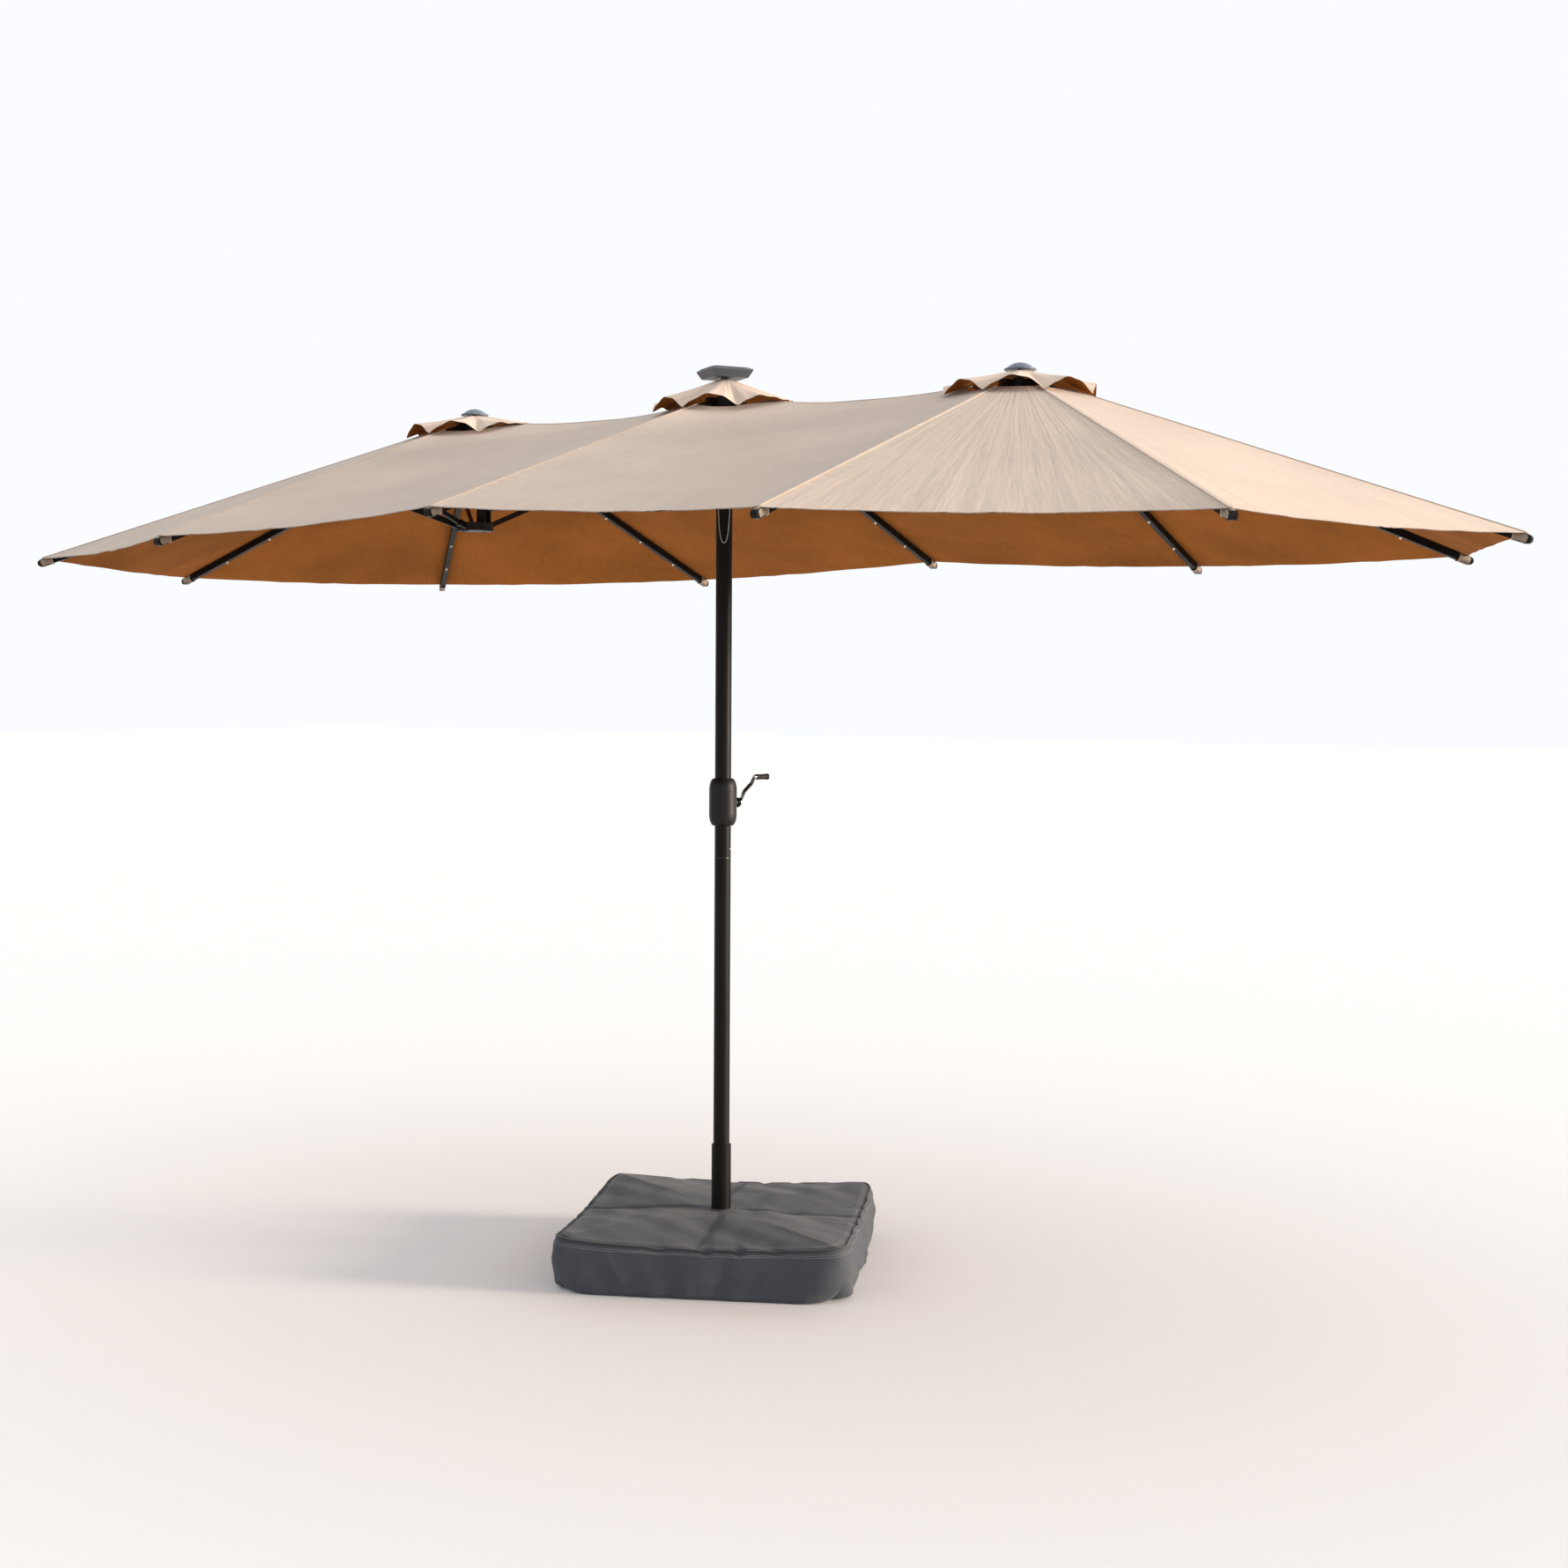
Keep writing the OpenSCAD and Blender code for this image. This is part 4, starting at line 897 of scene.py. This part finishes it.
class UMBRELLA_OT_rib_ends(bpy.types.Operator):
    """Slip a sewn pocket over each rib's tip, with its binding, and put a lens over each lamp"""
    bl_idname = "umbrella.rib_ends"
    bl_label = "Rib ends and lamps"

    def execute(self, context):
        for rib, hub_x, turn, tip, pivot_z, slope in all_ribs():
            axes = rib_axes(turn, slope)
            pivot = np.array([hub_x + PIVOT_R * math.cos(turn), PIVOT_R * math.sin(turn), pivot_z])
            long = (tip - PIVOT_R) / math.cos(slope)
            self.pocket(rib, pivot, axes, long)
            self.lamps(rib, pivot, axes, long)
        return {"FINISHED"}

    def pocket(self, rib, pivot, axes, long):
        """A rounded oblong section carried along the rib: open towards the hub, drawn in round the tip."""
        t = np.linspace(0, 1, 22)
        x = long - 0.034 + 0.040 * t
        round_off = np.sqrt(np.maximum(1 - np.maximum((t - 0.72) / 0.28, 0) ** 2.4, 0.0025))
        a = np.linspace(0, 2 * np.pi, 36, endpoint=False)
        c, s = np.cos(a), np.sin(a)
        power = 2 / 3.2
        wide = np.sign(c) * np.abs(c) ** power
        high = np.sign(s) * np.abs(s) ** power
        pucker = 1 + 0.02 * np.sin(a * 7)[None, :] * np.sin(t * 9)[:, None]
        y = 0.0106 * wide[None, :] * round_off[:, None] * pucker
        z = 0.0126 * high[None, :] * mix(1.0, round_off, 0.9)[:, None] * pucker
        local = np.stack([x[:, None] + 0 * a, y, z], axis=-1)
        grid = local @ axes.T + pivot
        middle = pivot + x[:, None, None] * axes[:, 0]
        normal = unit(grid - middle)
        uv = np.stack([a[None, :] * 0.013 + 0 * x[:, None], x[:, None] + 0 * a], axis=-1)
        sleeve = shell(f"pocket_{rib}", grid, normal, 0.0009, [finish("pocket cloth")], uv, wrap=True)
        ring = np.stack([np.full(36, x[0]), y[0] * 1.03, z[0] * 1.03], axis=1) @ axes.T + pivot
        hoop = tube(ring, 0.0011, 8, axes[:, 0], closed=True)
        binding = piece(f"binding_{rib}", *hoop, [finish("thread")])
        for obj in (sleeve, binding):
            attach(obj, f"rib_{rib}")

    def lamps(self, rib, pivot, axes, long):
        """Three domed lenses under the rib, each with a collar."""
        angles = np.linspace(0, math.pi / 2, 6)
        dome = [(0.0034 * math.cos(a), -0.0034 * math.sin(a)) for a in angles[::-1]]
        dome[0] = (0.0001, dome[0][1])
        points, faces = lathe(dome + [(0.0034, 0.0022), (0.0042, 0.0022), (0.0042, 0.0030)], 20)
        spots = np.array([[k * long, 0, -RIB_HALF - 0.0033] for k in (0.52, 0.68, 0.84)]) @ axes.T + pivot
        turns = np.broadcast_to(axes, (3, 3, 3))
        lenses = piece(f"lamps_{rib}", *copies(points, faces, spots, turns), [finish("lens")])
        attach(lenses, f"rib_{rib}")


# ---- vents ----

def vent_shape(apex, rim, rise, toward):
    """A vent about its own axis: straight from the apex to a rim whose corners lie over the ribs. The rim arches
    up eight times between the corners, and rises where a ridge arm passes under it."""
    def at(a, t):
        arch = np.abs(np.sin(4 * a))
        near = np.max([np.maximum(0, np.cos(a - d)) ** 8 for d in toward], axis=0)
        edge = rim + 0.036 * arch + rise * near * (1 - arch)
        r = mix(0.024, 0.214 * (1 - 0.05 * arch), t)
        sag = 0.004 * np.sin(np.pi * t) * arch + 0.0016 * np.sin(a * 24 + 3 * t) * t**2
        z = mix(apex, edge, t**1.1) - sag
        return np.stack([r * np.cos(a), r * np.sin(a), z], axis=-1)
    return at


class UMBRELLA_OT_vents(bpy.types.Operator):
    """Sew the vents over the open tops: a cap that stays on its hub, and a flap that goes with each rib"""
    bl_idname = "umbrella.vents"
    bl_label = "Vents"

    def execute(self, context):
        # flap: from and to direction in eighths of a turn from the outward long axis
        side_flaps = [
            ("end", -0.5, 0.5), ("front_corner", -1.5, -0.5), ("front", -4.0, -1.5),
            ("back_corner", 0.5, 1.5), ("back", 1.5, 4.0),
        ]
        for side, sign in SIDES.items():
            hub = np.array([sign * HUB_X, 0, 0])
            shape = vent_shape(2.563, 2.489, 0.042, [math.pi if sign > 0 else 0.0])
            self.cap(f"vent_cap_{side}", shape, 0.075, hub, f"side_hub_{side}")
            for spot, low, high in side_flaps:
                turn, ends = SPOTS[spot][0], (low * math.pi / 4, high * math.pi / 4)
                if sign < 0:
                    turn, ends = math.pi - turn, (math.pi - ends[1], math.pi - ends[0])
                self.flap(f"vent_{side}_{spot}", shape, 0.075, ends, hub, turn, f"{side}_{spot}")
        shape = vent_shape(2.606, 2.507, 0.030, [0.0, math.pi])
        self.cap("vent_cap_centre", shape, 0.11, np.zeros(3), "stand")
        for spot, ends in (("centre_front", (-math.pi, 0.0)), ("centre_back", (0.0, math.pi))):
            self.flap(f"vent_{spot}", shape, 0.11, ends, np.zeros(3), sum(ends) / 2, spot)
        for which in ("right", "left", "centre"):
            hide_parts(f"vent_{which}")
        return {"FINISHED"}

    def surface(self, shape, a, t):
        """Points of the vent, and normals: the cross product of its directions of travel, turned upwards."""
        step = 1e-3
        grid = shape(a, t)
        run = shape(a + step, t) - shape(a - step, t)
        out = shape(a, np.minimum(t + step, 1)) - shape(a, np.maximum(t - step, 0))
        normal = unit(np.cross(out, run))
        normal = normal * np.where(normal[..., 2:] < 0, -1.0, 1.0)
        uv = np.stack([a * 0.6 + 0.475, 0.2 * t + 0 * a], axis=-1)
        return grid, normal, uv

    def cap(self, name, shape, reach, hub, body):
        """The middle of the vent, all the way round, out to a share of its reach."""
        a = np.linspace(0, 2 * np.pi, 96, endpoint=False)[None, :]
        t = np.linspace(0, reach, 5)[:, None]
        grid, normal, uv = self.surface(shape, a + 0 * t, t + 0 * a)
        # the inner face gets the canopy underside's painted shade and painted glow
        cloths = [finish("vent cloth"), finish("canopy inside")]
        obj = shell(name, grid + hub, normal, 0.0012, cloths, uv, wrap=True)
        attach(obj, body)

    def flap(self, name, shape, start, ends, hub, turn, rib):
        """The rest of the vent between two directions, which goes with its rib."""
        a = np.linspace(*ends, max(12, round((ends[1] - ends[0]) * 14)) * 2 + 1)[None, :]
        t = np.linspace(start, 1, 24)[:, None]
        grid, normal, uv = self.surface(shape, a + 0 * t, t + 0 * a)
        # the inner face gets the canopy underside's painted shade and painted glow
        cloths = [finish("vent cloth"), finish("canopy inside")]
        obj = shell(name, grid + hub, normal, 0.0012, cloths, uv)
        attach(obj, f"rib_{rib}")
        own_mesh(obj)


# ---- base cover ----

# the cover's outline as in the CAD: height, and inset from its widest outline
COVER_ROWS = np.array([
    [0, 8], [12, 1], [50, 0], [95, 2], [132, 6], [150, 13], [158, 24], [160, 42], [157, 150], [155, 399],
]) / 1000
COVER_EDGE = 5.35


def cover_point(a, s):
    """A point of the cover: its CAD outline (a rounded square that turns into a circle at the hole), then folds
    that hang from the top edge, a dip of that edge between corners, creases over the gaps between the bags and
    a low swell over each bag. a is the direction, and s counts the outline's rows."""
    cover = bpy.context.scene.umbrella_cover
    count = np.arange(len(COVER_ROWS))
    z = np.interp(s, count, COVER_ROWS[:, 0])
    reach = BASE_W / 2 - np.interp(s, count, COVER_ROWS[:, 1])
    hole = 0.031
    squareness = np.clip((reach - hole) / (BASE_W / 2 - hole), 0, 1)
    power = mix(2.0, mix(9.0, 16.0, np.clip(s / 4, 0, 1)), squareness)
    c, d = np.cos(a), np.sin(a)
    r = reach / (np.abs(c) ** power + np.abs(d) ** power) ** (1 / power)
    x, y = r * c, r * d
    side = np.clip(1 - z / 0.140, 0, 1)
    wall = np.clip((6.2 - s) / 1.2, 0, 1)
    top = 1 - wall
    # how far along its edge a point is, from -1 at one corner to 1 at the next
    along = np.where(np.abs(x) > np.abs(y), y, x) / np.maximum(np.maximum(np.abs(x), np.abs(y)), 1e-6)
    middle = 1 - along**2
    # a few long folds lean from the sagging middle of each side up to its corners
    lean = a + 0.16 * np.sign(along) * np.abs(along) ** 0.5 * side
    fold = np.sin(7 * lean + 0.6) + 0.7 * np.sin(16 * lean + 1.9) + 0.4 * np.sin(29 * lean + 0.4)
    fold = np.sign(fold) * (np.abs(fold) / 2.1) ** 1.3
    push = cover.fold * fold * (0.2 + 0.8 * side) * wall
    push = push + 0.0025 * waves(x, y + 2 * z, 5, 7, 0.12, 0.3) * wall
    # broad crests of uneven size between them, fullest half-way up the side
    crest = np.maximum(0, 1 - 1.5 * np.abs(np.sin(6 * lean + 2.2 + 1.3 * np.sin(2 * a)))) ** 2
    crest = crest * (0.6 + 0.4 * np.sin(5 * a))
    push = push + 0.006 * crest * np.sin(np.pi * np.clip(z / BASE_H, 0, 1)) * wall
    push = np.minimum(push, 0.010) * np.clip(s / 0.6, 0.35, 1)
    tuck = np.abs(along) ** 8 * np.clip(1 - z / 0.075, 0, 1) ** 2
    push = push - 0.045 * tuck
    x, y = x + push * c, y + push * d
    drop = cover.sag * middle * np.clip((s - 2) / 3, 0, 1) * np.clip((reach - 0.12) / 0.25, 0, 1)
    pucker = np.maximum(0, np.sin(a * 23 + 1.5 * np.sin(a * 5))) ** 2
    pucker = pucker * np.exp(-((s - COVER_EDGE) / 1.3) ** 2)
    drop = drop + 0.006 * pucker * middle**2
    gap = np.minimum(np.abs(x + 0.012 * np.sin(9 * y)), np.abs(y + 0.010 * np.sin(11 * x)))
    crease = cover.crease * np.exp(-(gap / 0.013) ** 2) * top * np.clip((reach - 0.045) / 0.05, 0, 1)
    bag_x, bag_y = np.clip(np.abs(x) / 0.4, 0, 1), np.clip(np.abs(y) / 0.4, 0, 1)
    swell = 0.006 * np.sin(bag_x * np.pi) * np.sin(bag_y * np.pi) * top
    crumple = 0.0014 * waves(x, y, 11, 9, 0.06, 0.2) * top * np.clip((reach - 0.05) / 0.1, 0, 1)
    height = z - drop - crease + swell + crumple
    height = np.where(s < 0.001, 0.0008, np.maximum(height, 0.0008))
    ct, st = math.cos(BASE_TURN), math.sin(BASE_TURN)
    return np.stack([x * ct - y * st, x * st + y * ct, height], axis=-1)


class UMBRELLA_OT_base_cover(bpy.types.Operator):
    """Drape the cover over the sand bags, with its piping, stitches and the hem round the tube"""
    bl_idname = "umbrella.base_cover"
    bl_label = "Base cover"

    def execute(self, context):
        cover = context.scene.umbrella_cover
        a = np.linspace(0, 2 * np.pi, 420, endpoint=False)[None, :]
        s = np.concatenate([np.linspace(0, 4, 24), np.linspace(4, 8, 26)[1:], np.linspace(8, 9, 34)[1:]])
        s = s[:, None]
        a, s = a + 0 * s, s + 0 * a
        grid = cover_point(a, s)
        step = 2e-3
        run = cover_point(a + step, s) - cover_point(a - step, s)
        climb = cover_point(a, np.minimum(s + step, 9)) - cover_point(a, np.maximum(s - step, 0))
        normal = unit(np.cross(run, climb))
        length_up = np.concatenate([[0], np.cumsum(np.linalg.norm(np.diff(grid[:, 0], axis=0), axis=1))])
        uv = np.stack([a * 0.43, length_up[:, None] + 0 * a], axis=-1)
        cloth = finish("cover cloth")
        obj = shell("cover_cloth", grid, normal, cover.cloth, [cloth], uv, wrap=True)
        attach(obj, "stand")
        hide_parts("base_cover")
        self.trim(cover)
        return {"FINISHED"}

    def trim(self, cover):
        """Piping and stitches along lines of the cover, each at one row all round, and a hem at the tube."""
        a = np.linspace(0, 2 * np.pi, 900, endpoint=False)
        up = np.array([0.0, 0.0, 1.0])
        edge = cover_point(a, np.full(a.shape, COVER_EDGE))
        out = unit(edge * np.array([1, 1, 0]))
        welt = edge + out * 0.0012 + up * 0.0012
        parts = {
            "cover_piping": (tube(welt, cover.piping, 10, up, closed=True), "piping"),
        }
        rows = []
        for s in (4.55, 4.25, 6.45, 6.8):
            line = cover_point(a, np.full(a.shape, s))
            beside = cover_point(a + 1e-3, np.full(a.shape, s)) - line
            above = cover_point(a, np.full(a.shape, s + 1e-2)) - line
            normal = unit(np.cross(beside, above))
            rows.append(stitches(line + normal * 0.0003, normal, 0.0075, 0.0055, 0.0006))
        parts["cover_stitches"] = (merged(rows), "cover thread")
        ring = cover_point(a[::6], np.full(a[::6].shape, 9.0)) + up * 0.0010
        parts["cover_collar"] = (tube(ring, 0.0030, 10, up, closed=True), "piping")
        for name, (shape, material) in parts.items():
            obj = piece(name, *shape, [finish(material)])
            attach(obj, "stand")


# ---- chain and small hardware ----

class UMBRELLA_OT_chain(bpy.types.Operator):
    """Hang the ball chain of the locking pin under the runner"""
    bl_idname = "umbrella.chain"
    bl_label = "Pin chain"

    def execute(self, context):
        route = hanging(0.002)
        wire = tube(route, 0.0006, 6, np.array([0.55, -0.84, 0.0]))
        angles = np.linspace(0.12, math.pi - 0.12, 7)
        ball = lathe([(0.00165 * math.sin(t), -0.00165 * math.cos(t)) for t in angles], 10)
        places = hanging(0.0042)[1:-1]
        turns = np.broadcast_to(np.eye(3), (len(places), 3, 3))
        chain = piece("ball_chain", *merged([wire, copies(*ball, places, turns)]), [finish("nickel")])
        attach(chain, "runner")
        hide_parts("pin_chain")
        return {"FINISHED"}


def screw_head(radius, high):
    """A pan head: a low dome on a short rim, with its recess as a sunk middle."""
    return lathe([
        (radius, -0.0004), (radius, high * 0.45), (radius * 0.9, high * 0.8), (radius * 0.62, high),
        (radius * 0.42, high), (radius * 0.36, high * 0.45), (0.0001, high * 0.4),
    ], 28)


def facing(normal):
    """Axes as columns with the third along the normal."""
    n = unit(np.array(normal, float))
    side = unit(np.cross([0.0, 0.0, 1.0] if abs(n[2]) < 0.9 else [1.0, 0.0, 0.0], n))
    return np.stack([side, np.cross(n, side), n], axis=1)


class UMBRELLA_OT_hardware(bpy.types.Operator):
    """Add rivets, screws, parting lines, the panel's glass and the dome rims"""
    bl_idname = "umbrella.hardware"
    bl_label = "Small hardware"

    def execute(self, context):
        self.rivets()
        self.housing()
        self.tops()
        return {"FINISHED"}

    def rivets(self):
        """A rivet head on both sides of each strut's pin in its rib."""
        head = screw_head(0.0052, 0.0022)
        for rib, hub_x, turn, _, pivot_z, slope in all_ribs():
            axes = rib_axes(turn, slope)
            pivot = np.array([hub_x + PIVOT_R * math.cos(turn), PIVOT_R * math.sin(turn), pivot_z])
            # the strut's pin, by its distance along the rib from the rib's own pivot
            at = 0.470 if hub_x else 0.45857
            places = np.array([[at, s * 0.0116, 0.0] for s in (-1, 1)]) @ axes.T + pivot
            turns = np.stack([facing(s * axes[:, 1]) for s in (-1, 1)])
            obj = piece(f"rivets_{rib}", *copies(*head, places, turns), [finish("zinc")])
            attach(obj, f"strut_{rib}")

    def housing(self):
        """Four screws and a parting line on the crank housing, and the collar round the crank's boss."""
        low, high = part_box("crank_housing")
        mid_z = (low[2] + high[2]) / 2
        radius = 0.041
        turn = math.radians(75)
        head = screw_head(0.0042, 0.0016)
        places, turns = [], []
        for lean in (-38, 38):
            for rise in (-0.030, 0.030):
                a = turn - math.radians(90) + math.radians(lean)
                out = np.array([math.cos(a), math.sin(a), 0.0])
                places.append(out * (radius - 0.0026) + [0, 0, mid_z + rise])
                turns.append(facing(out))
        screws = piece("housing_screws", *copies(*head, np.array(places), np.array(turns)), [finish("zinc")])
        t = np.linspace(-1, 1, 60)
        arc = np.where(np.abs(t) > 0.52, (np.abs(t) - 0.52) / 0.48, 0.0)
        r = mix(radius, 0.0275, 1 - np.sqrt(np.maximum(1 - arc**2, 0)))
        lines = []
        for a in (turn, turn + math.pi):
            out = np.array([math.cos(a), math.sin(a), 0.0])
            path = out[None, :] * (r[:, None] + 0.0002)
            path = path + np.stack([0 * t, 0 * t, mid_z + t * 0.0695], axis=1)
            lines.append(tube(path, 0.0007, 6, np.cross(out, [0, 0, 1.0])))
        seam = piece("housing_seam", *merged(lines), [finish("nylon")])
        axis = np.array([math.cos(turn), math.sin(turn), 0.0])
        ring = lathe([(0.0122, 0.0), (0.0142, 0.0), (0.0148, 0.0012), (0.0142, 0.0030), (0.0122, 0.0030)], 40)
        places = np.array([axis * d + [0, 0, 1.367] for d in (0.0562, 0.0500)])
        collar = piece("boss_rings", *copies(*ring, places, np.stack([facing(axis)] * 2)), [finish("nylon")])
        for obj in (screws, seam, collar):
            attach(obj, "stand")

    def tops(self):
        """Glass over the solar lid, with a raised frame, and a rim under each dome."""
        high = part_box("solar_panel")[1][2]
        t = np.linspace(0, 2 * np.pi, 96, endpoint=False)
        turn = math.radians(-32)

        def oblong(half, power=7.0):
            c, s = np.cos(t), np.sin(t)
            r = half / (np.abs(c) ** power + np.abs(s) ** power) ** (1 / power)
            x, y = r * c, r * s
            c, s = math.cos(turn), math.sin(turn)
            return np.stack([x * c - y * s, x * s + y * c], axis=1)

        rings = [(0.0565, -0.0005), (0.0565, 0.0010), (0.0552, 0.0016), (0.030, 0.0019), (0.0005, 0.0020)]
        grid = np.stack([np.column_stack([oblong(h), np.full(96, high + z)]) for h, z in rings])
        points = grid.reshape(-1, 3)
        faces = [quads(len(rings), 96, wrap=True), np.arange(96)[None, ::-1], (384 + np.arange(96))[None, :]]
        glass = piece("solar_glass", points, outward(points, faces), [finish("panel glass")])
        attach(glass, "stand")
        path = np.column_stack([oblong(0.0600), np.full(96, high + 0.0004)])
        rail = tube(path, 0.0030, 10, np.array([0, 0, 1.0]), closed=True)
        rail = piece("solar_frame", *rail, [finish("panel tray")])
        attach(rail, "stand")
        for side, sign in SIDES.items():
            rim = lathe([
                (0.0395, 2.5655), (0.0425, 2.5650), (0.0440, 2.5668), (0.0425, 2.5692), (0.0405, 2.5694),
            ], 64)
            obj = piece(f"dome_rim_{side}", rim[0] + [sign * HUB_X, 0, 0], rim[1], [finish("dome plastic")])
            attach(obj, f"side_hub_{side}")


# ---- finishes of the frame's own nodes ----

class UMBRELLA_OT_finishes(bpy.types.Operator):
    """Give each part of the frame the finish of the real one"""
    bl_idname = "umbrella.finishes"
    bl_label = "Frame finishes"

    def execute(self, context):
        exact = {
            "base_bolts": "zinc", "pole_coupler": "zinc", "snap_button": "zinc", "sand_bags": "sand bag",
            "crank_housing": "nylon", "crank_shaft": "chrome", "crank_grip": "grip", "top_hub": "nylon",
            "pulley": "acetal", "crank_rope": "rope", "solar_panel": "panel tray", "runner": "nylon",
            "pin_chain": "nickel", "base_cover": "cover cloth",
        }
        begins = {
            "canopy": "canopy outside", "vent": "vent cloth", "side_hub": "nylon", "lower_hub": "nylon",
            "dome": "dome plastic",
        }
        for name, node in NODES.items():
            match = [v for k, v in begins.items() if name.startswith(k)]
            chosen = exact.get(name) or (match[0] if match else "powder coat")
            if not node.material_slots:
                node.data.materials.append(None)
            for slot in node.material_slots:
                slot.material = finish(chosen)
        return {"FINISHED"}


# ---- stage ----

class UMBRELLA_OT_stage(bpy.types.Operator):
    """Set the camera, a plain pale floor and soft studio light"""
    bl_idname = "umbrella.stage"
    bl_label = "Stage"

    def execute(self, context):
        stage = context.scene.umbrella_stage
        self.camera(context)
        x = np.array([-60.0, 60.0, 60.0, -60.0])
        points = np.stack([x, np.array([-60.0, -60.0, 60.0, 60.0]), 0 * x], axis=1)
        floor_paint, tree, surface, place = new_material("Plain pale floor", Roughness=0.9)
        at = place["Object"]
        grain = add(tree, "TexNoise", {"Vector": at, "Scale": 40, "Detail": 4.0, "Roughness": 0.55})
        pale = rgba(stage.floor, 0.985)
        tint = add(tree, "Mix", {0: grain, 6: pale, 7: rgba(stage.floor, 1.0)}, 2, data_type="RGBA")
        feed(tree, surface, {"Base Color": tint})
        floor = piece("floor", points, [np.array([[0, 1, 2, 3]])], [floor_paint])
        world = bpy.data.worlds.new("Soft surroundings")
        world.use_nodes = True
        world.node_tree.nodes.clear()
        sky = add(world.node_tree, "Background", {"Color": rgba(stage.sky), "Strength": stage.sky_strength})
        add(world.node_tree, "OutputWorld", {"Surface": sky})
        context.scene.world = world
        self.key_light(context, stage)
        context.scene.view_settings.view_transform = "Standard"
        return {"FINISHED"}

    def camera(self, context):
        """A 49 mm lens at eye height, turned towards the pole."""
        yaw, pitch, roll = math.radians(-32.81), math.radians(-2.59), math.radians(0.34)
        look = np.array([math.sin(yaw) * math.cos(pitch), math.cos(yaw) * math.cos(pitch), math.sin(pitch)])
        right = unit(np.cross(look, [0, 0, 1]))
        up = np.cross(right, look)
        side = right * math.cos(roll) + up * math.sin(roll)
        top = up * math.cos(roll) - right * math.sin(roll)
        axes = Matrix(np.stack([side, top, -look], axis=1).tolist()).to_4x4()
        data = bpy.data.cameras.new("camera")
        data.sensor_width = 36
        data.lens = 49.1
        data.clip_end = 300
        camera = bpy.data.objects.new("camera", data)
        camera.matrix_world = Matrix.Translation((3.574, -5.211, 1.71)) @ axes
        context.scene.collection.objects.link(camera)
        context.scene.camera = camera

    def key_light(self, context, stage):
        """A broad, far light, low over the horizon, that grazes the slope of the canopy on its side."""
        level = math.cos(stage.key_rise)
        toward = (level * math.cos(stage.key_turn), level * math.sin(stage.key_turn), math.sin(stage.key_rise))
        data = bpy.data.lights.new("key", "SUN")
        data.angle = math.radians(14)
        data.energy = stage.key
        data.color = linear("#FFEBD6")
        lamp = bpy.data.objects.new("key", data)
        lamp.matrix_world = Matrix(facing(toward).tolist()).to_4x4()
        context.scene.collection.objects.link(lamp)


# ---- panel and registration ----

STEPS = ("stage", "chain", "canopy", "seams", "rib_ends", "vents", "base_cover", "hardware", "finishes")


class UMBRELLA_PT_panel(bpy.types.Panel):
    bl_label = "Twin market umbrella"
    bl_idname = "UMBRELLA_PT_panel"
    bl_space_type = "VIEW_3D"
    bl_region_type = "UI"
    bl_category = "Umbrella"

    def draw(self, context):
        for step in STEPS:
            self.layout.operator(f"umbrella.{step}")
        for settings in ("umbrella_canopy", "umbrella_cover", "umbrella_finish", "umbrella_stage"):
            group = getattr(context.scene, settings)
            box = self.layout.box()
            for key in group.__annotations__:
                box.prop(group, key)


CLASSES = (
    CanopySettings, CoverSettings, FinishSettings, StageSettings,
    UMBRELLA_OT_stage, UMBRELLA_OT_chain, UMBRELLA_OT_canopy, UMBRELLA_OT_seams, UMBRELLA_OT_rib_ends,
    UMBRELLA_OT_vents, UMBRELLA_OT_base_cover, UMBRELLA_OT_hardware, UMBRELLA_OT_finishes, UMBRELLA_PT_panel,
)


def register():
    for cls in CLASSES:
        bpy.utils.register_class(cls)
    bpy.types.Scene.umbrella_canopy = PointerProperty(type=CanopySettings)
    bpy.types.Scene.umbrella_cover = PointerProperty(type=CoverSettings)
    bpy.types.Scene.umbrella_finish = PointerProperty(type=FinishSettings)
    bpy.types.Scene.umbrella_stage = PointerProperty(type=StageSettings)


def unregister():
    for name in ("umbrella_canopy", "umbrella_cover", "umbrella_finish", "umbrella_stage"):
        delattr(bpy.types.Scene, name)
    for cls in reversed(CLASSES):
        bpy.utils.unregister_class(cls)


def main():
    register()
    for step in STEPS:
        getattr(bpy.ops.umbrella, step)()


if __name__ == "__main__":
    main()
